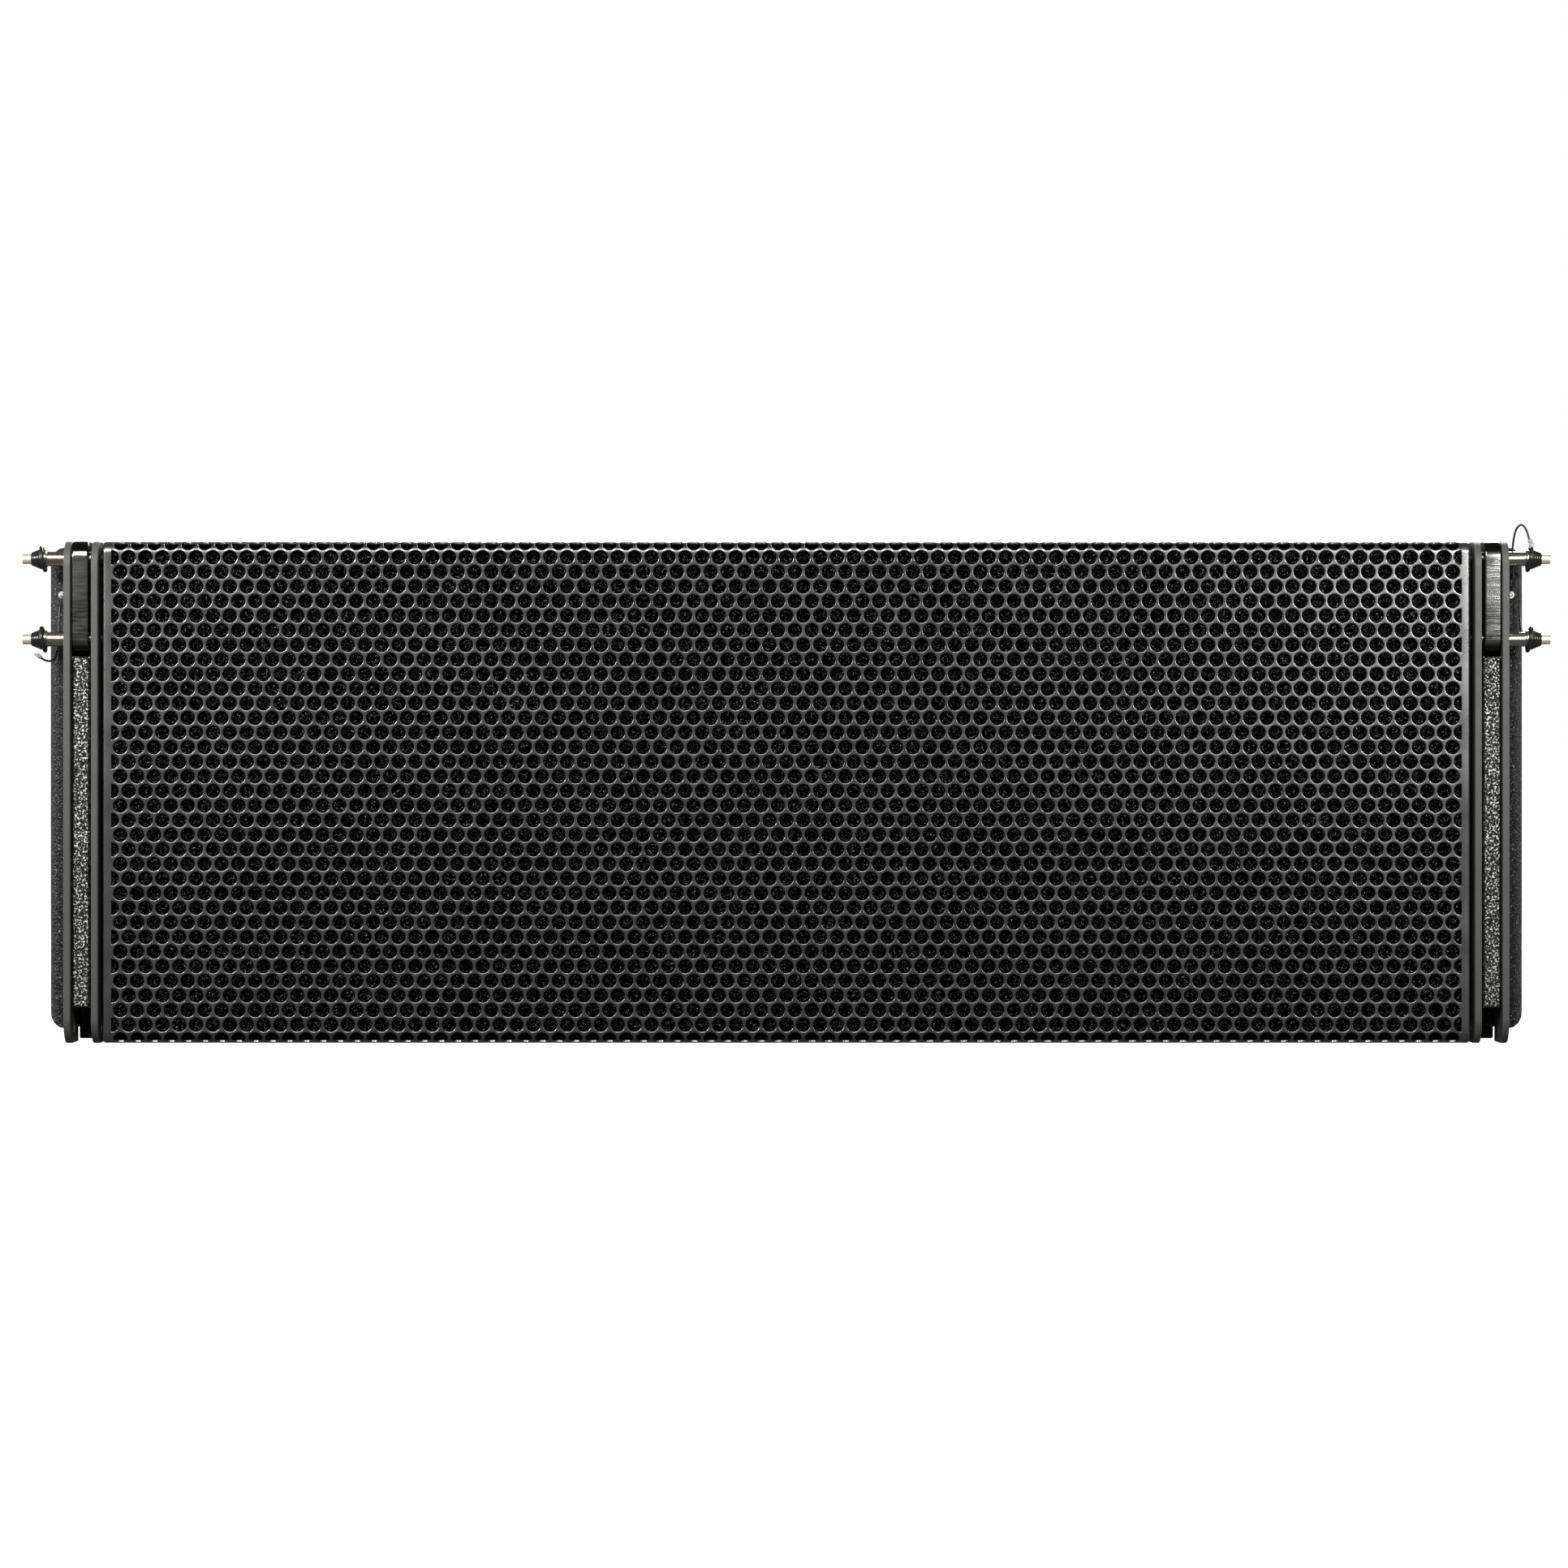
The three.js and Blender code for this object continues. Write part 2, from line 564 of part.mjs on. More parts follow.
/** A bar with round corners: the upper pin runs in its slot, its open foot straddles the lower pin. */
function linkOutline() {
  const [front, back] = LINK_DEPTH;
  const [low, high] = LINK_Z;
  const radius = LINK_CORNER;
  const outline = new THREE.Shape();
  outline.absarc(back - radius, high - radius, radius, 0, Math.PI / 2);
  outline.absarc(front + radius, high - radius, radius, Math.PI / 2, Math.PI);
  outline.absarc(front + radius, low + radius, radius, Math.PI, 1.5 * Math.PI);
  outline.lineTo(PIN_DEPTH - PIN_HOLE_RADIUS, low);
  outline.absarc(PIN_DEPTH, LOWER_PIN_Z, PIN_HOLE_RADIUS, Math.PI, 0, true);
  outline.lineTo(PIN_DEPTH + PIN_HOLE_RADIUS, low);
  outline.absarc(back - radius, low + radius, radius, -Math.PI / 2, 0);
  outline.closePath();
  const slot = slotOutline(PIN_DEPTH, UPPER_PIN_Z - LINK_TRAVEL, UPPER_PIN_Z, PIN_HOLE_RADIUS);
  outline.holes.push(slot);
  return outline;
}

/** Shank, shoulder, barrel, flange and stepped cone, bored from the outer end for its button. */
function pinBody(side, depth, height) {
  const head = PIN_HEAD_X;
  const bore = BUTTON_RADIUS + GAP;
  const barrel = PIN_BARREL_RADIUS;
  const flange = PIN_FLANGE_RADIUS;
  const profile = [
    [0, PIN_TIP_X], [3.6, PIN_TIP_X], [PIN_RADIUS, PIN_TIP_X + 1.4], [PIN_RADIUS, head],
    [7.4, head], [barrel, head + 3], [barrel, head + 15.6], [flange, head + 15.6],
    [flange, head + 18.2], [8.2, head + 19.6], [7.2, head + 22], [bore + 0.6, head + PIN_LENGTH],
    [bore, head + PIN_LENGTH], [bore, head + PIN_BORE_DEPTH], [0, head + PIN_BORE_DEPTH],
  ];
  return turnedAlongWidth(profile, side, depth, height, PIN_SIDES);
}

function pinButton(side, depth, height) {
  const base = PIN_HEAD_X + PIN_BORE_DEPTH + GAP + BUTTON_TRAVEL;
  const tip = PIN_HEAD_X + BUTTON_REACH;
  const chamfer = 0.6;
  const profile = [
    [0, base], [BUTTON_RADIUS, base], [BUTTON_RADIUS, tip - chamfer],
    [BUTTON_RADIUS - chamfer, tip], [0, tip],
  ];
  return turnedAlongWidth(profile, side, depth, height, PIN_SIDES);
}

function addPin(name, side, depth, height) {
  add(`${name}_pin_${sideName(side)}`, pinBody(side, depth, height), pinSteel());
  add(`${name}_button_${sideName(side)}`, pinButton(side, depth, height), buttonMetal());
}

function addFrontRigging(side) {
  const name = sideName(side);
  const plateAt = (x) => acrossWidth(cornerPlateOutline(), ...onSide(side, x, x + PLATE));
  add(`front_inner_plate_${name}`, plateAt(INNER_PLATE_X), plateCoat());
  add(`front_outer_plate_${name}`, plateAt(OUTER_PLATE_X), plateCoat());
  add(`front_spacer_${name}`, acrossWidth(spacerOutline(), ...onSide(side, ...SPACER_X)), texturedBlack());
  add(`front_link_${name}`, acrossWidth(linkOutline(), ...onSide(side, ...LINK_X)), bareSteel());
  addPin('upper', side, PIN_DEPTH, UPPER_PIN_Z);
  addPin('lower', side, PIN_DEPTH, LOWER_PIN_Z);
}

// ---------------------------------------------------------------- lanyards

// Centre lines as (x outward, depth, height): from the anchor, behind the pin, to the pin's flange.
const LANYARD_ROUTES = {
  upper_right: [
    [520.9, 40, 324.2], [521.7, 36.9, 331.3], [521.2, 36, 339.4], [521, 35.6, 347.4],
    [521.1, 34.6, 355.5], [521.9, 33, 362.5], [523.4, 31, 368], [526.2, 29, 370.7],
    [528.6, 27.4, 369], [530.3, 26.3, 365.2], [531.6, 25.5, 360.6], [533, 25, 356.6],
  ],
  lower_left: [
    [520.9, 40, 317.8], [521.8, 37.4, 310.2], [521.7, 36.2, 302], [521.8, 35.8, 294],
    [522.4, 35.4, 285.9], [523.4, 34.2, 278.8], [525, 32, 274.6], [527.6, 29.4, 273.1],
    [530.6, 27.2, 273.6], [533.5, 25.7, 275.4], [536.1, 25, 277.9],
  ],
  lower_right: [
    [520.9, 41.4, 323.4], [520.9, 42.6, 327.5], [521.1, 43, 332.1], [522.4, 42, 335.6],
    [524.5, 40, 336.1], [525.9, 38.6, 332.4], [526.1, 38.4, 326.3], [526.1, 38.6, 319.3],
    [526.5, 38.8, 312.2], [526.8, 38.6, 305.1], [527.4, 38, 298.1], [528.5, 37.4, 291.5],
    [530.6, 36.8, 287.1], [533.4, 36.2, 285.7], [535.9, 35.4, 287.1],
  ],
};

function lanyard(side, route) {
  const points = route.map(([x, depth, z]) => new THREE.Vector3(side * x, depth, z));
  const path = new THREE.CatmullRomCurve3(points, false, 'centripetal');
  const ring = Array.from({ length: LANYARD_SIDES }, (_, i) => {
    const turn = (i / LANYARD_SIDES) * 2 * Math.PI;
    return [LANYARD_RADIUS * Math.cos(turn), LANYARD_RADIUS * Math.sin(turn)];
  });
  const steps = Math.round(path.getLength() / (2.5 * 2 * LANYARD_RADIUS));
  return new THREE.ExtrudeGeometry(polygon(ring), { steps, extrudePath: path, bevelEnabled: false });
}

/** A screw head with a flat washer under it, which the side's lanyards are held by. */
function lanyardAnchor(side) {
  const back = SIDE_START - GAP;
  const profile = [
    [0, ANCHOR.depth + 1], [1.5, ANCHOR.depth + 1.2], [1.9, back - 0.8],
    [ANCHOR.radius, back - 0.8], [ANCHOR.radius, back], [0, back],
  ];
  return turnedAlongDepth(profile, side * ANCHOR.x, ANCHOR.z, 12);
}

function addLanyards() {
  for (const side of [-1, 1]) {
    add(`lanyard_anchor_${sideName(side)}`, lanyardAnchor(side), bareSteel());
  }
  add('lanyard_upper_right', lanyard(1, LANYARD_ROUTES.upper_right), rubberBlack());
  add('lanyard_lower_left', lanyard(-1, LANYARD_ROUTES.lower_left), rubberBlack());
  add('lanyard_lower_right', lanyard(1, LANYARD_ROUTES.lower_right), rubberBlack());
}

// ---------------------------------------------------------------- rear rigging

/** A channel open to the rear, with a fixed bolt across it that keeps the arm in. */
function rearBracket(side) {
  const [low, high] = BRACKET_Z;
  const wallOutline = () => {
    const corners = [[BRACKET_FRONT, low], [DEPTH, low], [DEPTH, high], [BRACKET_FRONT, high]];
    const outline = polygon(corners);
    const holes = [
      [ARM_HOLE_DEPTH, REAR_PIN_Z], [ARM_HOLE_DEPTH, LOCK_Z], [ARM_EYE.depth, NEXT_ARM_Z],
    ];
    for (const [depth, height] of holes) {
      outline.holes.push(circleOutline(depth, height, PIN_HOLE_RADIUS));
    }
    return outline;
  };
  const wallAt = (x) => acrossWidth(wallOutline(), ...onSide(side, x, x + PLATE));
  const [x0, x1] = onSide(side, INNER_PLATE_X, OUTER_PLATE_X + PLATE);
  const [b0, b1] = onSide(side, INNER_PLATE_X + 1, OUTER_PLATE_X + PLATE - 1);
  const web = box(x0, x1, BRACKET_FRONT, BRACKET_FRONT + PLATE, low, high);
  const bolt = acrossWidth(circleOutline(ARM_SLOT_DEPTH, ARM_BOLT_Z, PIN_RADIUS), b0, b1);
  return join(wallAt(INNER_PLATE_X), wallAt(OUTER_PLATE_X), web, bolt);
}

/** A bar with an eye at the top, a long slot for the bolt and a row of holes for the splay angles. */
function rearArm(side) {
  const [low, high] = ARM_Z;
  const outline = roundedRectangle(ARM_DEPTH[0], low, ARM_DEPTH[1], high, ARM_CORNER);
  const slotEnd = ARM_BOLT_Z - ARM_TRAVEL;
  outline.holes.push(slotOutline(ARM_SLOT_DEPTH, slotEnd, ARM_BOLT_Z, PIN_HOLE_RADIUS));
  outline.holes.push(circleOutline(ARM_EYE.depth, high - ARM_EYE.fromTop, PIN_HOLE_RADIUS));
  for (let i = 0; i < ARM_HOLES; i += 1) {
    const height = LOCK_Z - ARM_TRAVEL + i * ARM_HOLE_STEP;
    outline.holes.push(circleOutline(ARM_HOLE_DEPTH, height, PIN_HOLE_RADIUS));
  }
  return acrossWidth(outline, ...onSide(side, ...ARM_X));
}

function addRearRigging(side) {
  const name = sideName(side);
  add(`rear_bracket_${name}`, rearBracket(side), plateCoat());
  add(`rear_arm_${name}`, rearArm(side), bareSteel());
  addPin('rear', side, ARM_HOLE_DEPTH, REAR_PIN_Z);
}

// ---------------------------------------------------------------- handles and connectors

/** A recessed cup whose rim lies flush in the side panel. */
function handleCup(side) {
  const bottom = HANDLE_BOTTOM_X;
  const rimX = onSide(side, SIDE_OUTER - HANDLE_RIM_DEPTH + GAP, SIDE_OUTER);
  const hollowX = onSide(side, bottom + HANDLE_WALL, SIDE_OUTER + 1);
  const shell = acrossWidth(handleOutline(GAP), ...onSide(side, bottom, SIDE_OUTER));
  const rim = acrossWidth(handleOutline(GAP - HANDLE_RIM), ...rimX);
  const hollow = acrossWidth(handleOutline(GAP + HANDLE_WALL), ...hollowX);
  return cut(join(shell, rim), hollow);
}

/** The grip spans the cup near its top edge. */
function handleGrip(side) {
  const start = HANDLE_DEPTH[0] + HANDLE_WALL + 2 * GAP;
  const end = HANDLE_DEPTH[1] - HANDLE_WALL - 2 * GAP;
  const profile = [[0, start], [GRIP.radius, start], [GRIP.radius, end], [0, end]];
  return turnedAlongDepth(profile, side * GRIP.x, GRIP.z, 12);
}

function addHandle(side) {
  const name = sideName(side);
  add(`handle_cup_${name}`, handleCup(side), blackPlastic());
  add(`handle_grip_${name}`, handleGrip(side), rubberBlack());
}

function connectorPlate() {
  const [halfWidth, halfHeight] = CONNECTOR_SIZE.map((size) => size / 2);
  const outline = centredRectangle(0, halfWidth, halfHeight, PANEL_CORNER);
  for (const side of [-1, 1]) {
    outline.holes.push(circleOutline(side * SOCKET_X, WEDGE_MIDDLE, SOCKET.barrel + 0.5));
  }
  return alongDepth(outline, CONNECTOR_DEPTH + GAP, CONNECTOR_DEPTH + GAP + SOCKET.plate);
}

/** A panel socket: a square flange on the outside of the plate and a deep round well. */
function socket(x) {
  const face = CONNECTOR_DEPTH + SOCKET.plate + 2 * GAP;
  const wall = 4; // floor of the well
  const flange = centredRectangle(x, SOCKET.flange / 2, SOCKET.flange / 2, wall);
  const barrel = circleOutline(x, WEDGE_MIDDLE, SOCKET.barrel);
  const well = circleOutline(x, WEDGE_MIDDLE, SOCKET.well);
  return cut(
    join(
      alongDepth(flange, face, face + SOCKET.plate),
      alongDepth(barrel, face - SOCKET.depth - wall, face + 1),
    ),
    alongDepth(well, face - SOCKET.depth, face + wall),
  );
}

/** Board inside the rear panel with the coils and capacitors of the passive filter. */
function crossoverBoard() {
  const back = DEPTH - REAR_BOARD - CROSSOVER.behind;
  const front = back - CROSSOVER.thickness;
  const { halfWidth, halfHeight } = CROSSOVER;
  // Left and right edge, height off the board and centre height of each component.
  const components = [
    [-60, -20, 24, 20], [-10, 26, 20, 30], [40, 70, 18, 24], [-50, -30, 16, -22], [0, 40, 22, -20],
  ];
  const parts = components.map(([x0, x1, tall, z]) => {
    const middle = WEDGE_MIDDLE + z;
    return box(x0, x1, front - tall, front + 1, middle - 12, middle + 12);
  });
  const [low, high] = [WEDGE_MIDDLE - halfHeight, WEDGE_MIDDLE + halfHeight];
  return join(box(-halfWidth, halfWidth, front, back, low, high), ...parts);
}

function addConnectors() {
  add('connector_plate', connectorPlate(), paint(0x303030, 0.5, 0.5));
  add('socket_input', socket(-SOCKET_X), blackPlastic());
  add('socket_link', socket(SOCKET_X), blackPlastic());
  add('crossover_board', crossoverBoard(), circuitGreen());
}

// ---------------------------------------------------------------- everything together

addCabinet();
add('grille', grille(), grillePaint());
add('grille_foam', grilleFoam(), foamBlack());
addDrivers();
for (const side of [-1, 1]) {
  addFrontRigging(side);
  addRearRigging(side);
  addHandle(side);
}
addLanyards();
addConnectors();

export default lineArray;
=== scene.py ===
"""Looks of the line array loudspeaker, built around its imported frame.

Everything is in metres, +X to the right as seen from the front, +Z up, and the grille faces -Y.
Sizes are written in millimetres and turned into metres by MM or by at(), because that is how the
loudspeaker's own drawings would give them.
"""

import math
import random

import bmesh
import bpy
from mathutils import Matrix, Vector, noise


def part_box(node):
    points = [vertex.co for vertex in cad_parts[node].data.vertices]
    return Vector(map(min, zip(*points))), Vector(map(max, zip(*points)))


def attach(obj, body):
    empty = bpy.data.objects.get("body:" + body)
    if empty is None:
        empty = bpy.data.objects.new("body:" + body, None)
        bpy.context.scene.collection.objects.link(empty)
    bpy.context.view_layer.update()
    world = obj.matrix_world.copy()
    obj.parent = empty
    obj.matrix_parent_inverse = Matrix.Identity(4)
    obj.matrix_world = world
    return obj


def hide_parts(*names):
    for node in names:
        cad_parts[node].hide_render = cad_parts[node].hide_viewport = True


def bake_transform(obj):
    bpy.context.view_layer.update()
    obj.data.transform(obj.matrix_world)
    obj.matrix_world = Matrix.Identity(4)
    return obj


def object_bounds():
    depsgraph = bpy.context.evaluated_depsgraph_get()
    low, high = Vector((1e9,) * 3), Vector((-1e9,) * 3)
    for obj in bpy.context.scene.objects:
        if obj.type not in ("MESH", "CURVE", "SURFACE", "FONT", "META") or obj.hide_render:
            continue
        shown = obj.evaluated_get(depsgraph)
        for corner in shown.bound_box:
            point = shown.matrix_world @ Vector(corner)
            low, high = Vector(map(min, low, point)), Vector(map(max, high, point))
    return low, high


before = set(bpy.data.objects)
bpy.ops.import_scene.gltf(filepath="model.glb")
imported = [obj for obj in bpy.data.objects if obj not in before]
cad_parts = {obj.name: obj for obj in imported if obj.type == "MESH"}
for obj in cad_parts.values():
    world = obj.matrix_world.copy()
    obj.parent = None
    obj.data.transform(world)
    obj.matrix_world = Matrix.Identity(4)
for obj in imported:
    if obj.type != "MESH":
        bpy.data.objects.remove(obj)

CAD_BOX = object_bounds()
MM = 0.001
SIDES = {"left": -1, "right": 1}
FRONT_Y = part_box("front_outer_plate_left")[0][1]


def at(x, depth, z):
    """A place given by its width, its depth behind the front plane and its height, in mm."""
    return Vector((x * MM, FRONT_Y + depth * MM, z * MM))


# ------------------------------------------------------------------ camera, light and floor

CAMERA_DISTANCE = 4.0
CAMERA_X = -0.0017
CAMERA_HEIGHT = 0.185
VIEW_WIDTH = 1.1152  # metres across the picture at the front plane
SENSOR = 36.0
ROOM_LIGHT = 0.1  # of the white backdrop, as the object sees it
FLOOR_GLOW = 1.0
FLOOR_SIZE = 40.0
FLOOR_DROP = 0.0005  # keeps the floor just under the feet of the plates


def make_camera():
    data = bpy.data.cameras.new("camera")
    data.sensor_width = SENSOR
    data.lens = SENSOR * CAMERA_DISTANCE / VIEW_WIDTH
    camera = bpy.data.objects.new("camera", data)
    camera.location = (CAMERA_X, FRONT_Y - CAMERA_DISTANCE, CAMERA_HEIGHT)
    camera.rotation_euler = (math.radians(90), 0, 0)
    bpy.context.collection.objects.link(camera)
    bpy.context.scene.camera = camera


def area_light(name, place, target, size, power, spread=180):
    """A rectangular softbox; a narrow spread in degrees keeps its light on the target."""
    data = bpy.data.lights.new(name, "AREA")
    data.shape = "RECTANGLE"
    data.size, data.size_y = size
    data.energy = power
    data.spread = math.radians(spread)
    light = bpy.data.objects.new(name, data)
    light.location = place
    light.rotation_euler = (Vector(target) - Vector(place)).to_track_quat("-Z", "Y").to_euler()
    bpy.context.collection.objects.link(light)


def make_world():
    """A white backdrop that throws only a little light, so that the softboxes do the work."""
    world = bpy.data.worlds.new("studio")
    bpy.context.scene.world = world
    world.use_nodes = True
    nodes, links = world.node_tree.nodes, world.node_tree.links
    path = nodes.new("ShaderNodeLightPath")
    strength = nodes.new("ShaderNodeMapRange")
    strength.inputs["To Min"].default_value = ROOM_LIGHT
    strength.inputs["To Max"].default_value = 1.0
    links.new(path.outputs["Is Camera Ray"], strength.inputs["Value"])
    links.new(strength.outputs["Result"], nodes["Background"].inputs["Strength"])
    nodes["Background"].inputs["Color"].default_value = (1, 1, 1, 1)


def make_floor():
    """A pale floor that glows a little, so that it runs into the white backdrop."""
    bpy.ops.mesh.primitive_plane_add(size=FLOOR_SIZE, location=(0, 0, CAD_BOX[0][2] - FLOOR_DROP))
    floor = bpy.context.object
    floor.name = "floor"
    floor.visible_diffuse = False
    floor.visible_glossy = False
    finish = Surface("pale_floor", (0.8, 0.8, 0.8), 0.9)
    finish.vary(scale=3, amount=0.02)
    finish.shader.inputs["Emission Color"].default_value = (1, 1, 1, 1)
    finish.shader.inputs["Emission Strength"].default_value = FLOOR_GLOW
    floor.data.materials.append(finish.material)


def make_lights():
    """Softboxes high in front and behind, one at each side, and a small one at each corner."""
    area_light("front_softbox", (-0.3, -2.4, 1.75), (0, 0, 0.15), (1.6, 1.1), 42)
    area_light("near_right_softbox", (0.9, -1.4, 0.68), (0.5, -0.23, 0.42), (0.4, 0.4), 1.2, 50)
    area_light("near_left_softbox", (-1.15, -1.3, 0.8), (-0.5, -0.23, 0.42), (0.4, 0.4), 1.6, 50)
    area_light("left_softbox", (-2.6, 0.6, 0.5), (0, 0, 0.2), (1.2, 0.8), 18)
    area_light("right_softbox", (2.6, 0.7, 0.5), (0, 0, 0.2), (1.2, 0.8), 12)
    area_light("rear_softbox", (0.6, 2.4, 1.8), (0, 0, 0.15), (2.2, 0.8), 90)


# ------------------------------------------------------------------ materials

class Surface:
    """A Principled material that gets its variation, bump, grain and painted light from procedural
    textures.
    """

    def __init__(self, name, color, roughness, metallic=0.0):
        self.material = bpy.data.materials.new(name)
        self.material.use_nodes = True
        self.nodes = self.material.node_tree.nodes
        self.links = self.material.node_tree.links
        self.shader = self.nodes["Principled BSDF"]
        self.coordinates = self.nodes.new("ShaderNodeTexCoord").outputs["Object"]
        self.color = color
        self.roughness = roughness
        self.shader.inputs["Base Color"].default_value = (*color, 1)
        self.shader.inputs["Roughness"].default_value = roughness
        self.shader.inputs["Metallic"].default_value = metallic

    def node(self, kind, values, **settings):
        """A new node's outputs; a socket among the values is linked, anything else is set."""
        node = self.nodes.new(kind)
        for name, setting in settings.items():
            setattr(node, name, setting)
        for name, value in values.items():
            if isinstance(value, bpy.types.NodeSocket):
                self.links.new(value, node.inputs[name])
            else:
                node.inputs[name].default_value = value
        return node.outputs

    def noise(self, scale, detail, stretch=(1, 1, 1)):
        """Noise on coordinates scaled along each axis, which draws it out into streaks."""
        stretched = self.node("ShaderNodeMapping", {"Vector": self.coordinates, "Scale": stretch})
        return self.node("ShaderNodeTexNoise", {
            "Vector": stretched["Vector"], "Scale": scale, "Detail": detail})["Fac"]

    def cells(self, scale):
        return self.node("ShaderNodeTexVoronoi", {
            "Vector": self.coordinates, "Scale": scale, "Smoothness": 0.3},
            feature="SMOOTH_F1")["Distance"]

    def ramped(self, value, low, high, to_low=0.0, to_high=1.0):
        """The value stretched so that low gives to_low and high gives to_high."""
        return self.node("ShaderNodeMapRange", {
            "Value": value, "From Min": low, "From Max": high,
            "To Min": to_low, "To Max": to_high})["Result"]

    def slope(self):
        """How far the surface leans up or down, from 0 on upright faces to 1 on level ones."""
        normal = self.node("ShaderNodeTexCoord", {})["Normal"]
        upward = self.node("ShaderNodeSeparateXYZ", {"Vector": normal})["Z"]
        return self.node("ShaderNodeMath", {0: upward}, operation="ABSOLUTE")["Value"]

    def product(self, first, second):
        return self.node("ShaderNodeMath", {0: first, 1: second}, operation="MULTIPLY")["Value"]

    def mix(self, factor, light):
        """Lays another colour over the present base colour where factor is high."""
        base = self.shader.inputs["Base Color"]
        below = base.links[0].from_socket if base.is_linked else base.default_value
        mixed = self.node("ShaderNodeMix", {"Factor": factor, "A": below, "B": (*light, 1)},
                          data_type="RGBA")
        self.links.new(mixed["Result"], base)

    def vary(self, scale, amount, stretch=(1, 1, 1)):
        """Lightens the colour and roughens the surface a little by a soft noise."""
        lighter = [min(1.0, channel + amount) for channel in self.color]
        self.mix(self.ramped(self.noise(scale, 4, stretch), 0.35, 0.7), lighter)
        rough = self.ramped(self.noise(scale * 3, 3, stretch), 0.3, 0.7,
                            self.roughness * 0.85, min(1.0, self.roughness * 1.15))
        self.links.new(rough, self.shader.inputs["Roughness"])

    def bump(self, height, depth_mm):
        relief = self.node("ShaderNodeBump", {
            "Height": height, "Distance": depth_mm * MM, "Strength": 1.0})
        self.links.new(relief["Normal"], self.shader.inputs["Normal"])


def textured_paint(name, painted_glint, cover):
    """Thick black spray coat, 1 to 2 mm grained; its peaks above cover get painted highlights, a
    light colour standing in for the light that the bumps catch.
    """
    coat = Surface(name, (0.004, 0.004, 0.0042), 0.32)
    coat.vary(scale=60, amount=0.004)
    coat.shader.inputs["Specular IOR Level"].default_value = 0.35
    grain = coat.noise(720, 2.0)
    # painted highlight: the grain's peaks above cover take a light colour, as if they caught the
    # light
    coat.mix(coat.ramped(grain, cover, cover + 0.07), (painted_glint, painted_glint, painted_glint * 0.96))
    coat.bump(grain, 1.3)
    return coat.material


def plate_coat():
    """Fine-grained dark grey powder coat."""
    coat = Surface("plate_coat", (0.08, 0.08, 0.075), 0.55)
    coat.vary(scale=40, amount=0.012)
    coat.mix(coat.ramped(coat.noise(2600, 2), 0.5, 0.72), (0.16, 0.16, 0.15))
    coat.bump(coat.noise(2600, 2), 0.07)
    return coat.material


def grille_coat():
    """Metallic dark grey powder coat with a very fine grain."""
    coat = Surface("grille_coat", (0.2, 0.2, 0.198), 0.27, 0.93)
    coat.vary(scale=12, amount=0.015)
    coat.mix(coat.ramped(coat.noise(2800, 2), 0.5, 0.7), (0.3, 0.3, 0.295))
    coat.bump(coat.noise(2800, 2), 0.008)
    return coat.material


def foam():
    """Open-cell acoustic foam: black, with small irregular painted highlights standing in for
    light caught by its cell walls.
    """
    finish = Surface("acoustic_foam", (0.0006, 0.0006, 0.0006), 0.95)
    finish.shader.inputs["Specular IOR Level"].default_value = 0.02
    # painted highlights: small light specks where two noises peak together
    painted_glints = finish.product(finish.ramped(finish.noise(1250, 1.5), 0.6, 0.76),
                            finish.ramped(finish.noise(420, 1.0), 0.42, 0.72))
    finish.mix(painted_glints, (0.6, 0.6, 0.58))
    finish.bump(finish.cells(700), 0.4)
    return finish.material


def bar_steel():
    """Bare steel bar with milling marks across it and painted shade on its rounded ends."""
    finish = Surface("bar_steel", (0.43, 0.43, 0.42), 0.17, 1.0)
    across = (0.08, 0.08, 1)
    finish.mix(finish.ramped(finish.noise(620, 3, across), 0.45, 0.58), (0.11, 0.11, 0.105))
    finish.vary(scale=30, amount=0.02)
    # painted shade: the rounded ends are darkened where they lean up or down
    finish.mix(finish.ramped(finish.slope(), 0.18, 0.44), (0.05, 0.05, 0.048))
    finish.bump(finish.noise(620, 3, across), 0.07)
    return finish.material


def pin_steel():
    """Turned stainless steel, slightly warm, with fine rings around it."""
    finish = Surface("pin_steel", (0.6, 0.56, 0.5), 0.22, 1.0)
    around = (1, 0.05, 0.05)
    finish.vary(scale=900, amount=0.05, stretch=around)
    finish.bump(finish.noise(1500, 2, around), 0.02)
    return finish.material


def clear_sleeve():
    """Milky clear shrink sleeve over the crimp."""
    finish = Surface("clear_sleeve", (0.8, 0.77, 0.74), 0.25)
    finish.vary(scale=600, amount=0.1)
    finish.bump(finish.noise(500, 2), 0.15)
    finish.shader.inputs["Transmission Weight"].default_value = 0.6
    return finish.material


def plywood():
    """Birch ply: pale faces with a long, wavy grain."""
    finish = Surface("plywood", (0.46, 0.33, 0.2), 0.7)
    finish.mix(finish.ramped(finish.noise(12, 5, (1, 12, 12)), 0.4, 0.65), (0.33, 0.22, 0.12))
    finish.bump(finish.noise(60, 4, (1, 10, 10)), 0.1)
    return finish.material


def circuit_board():
    finish = Surface("circuit_board", (0.02, 0.09, 0.045), 0.4)
    finish.mix(finish.ramped(finish.noise(90, 1), 0.55, 0.58), (0.03, 0.16, 0.08))
    return finish.material


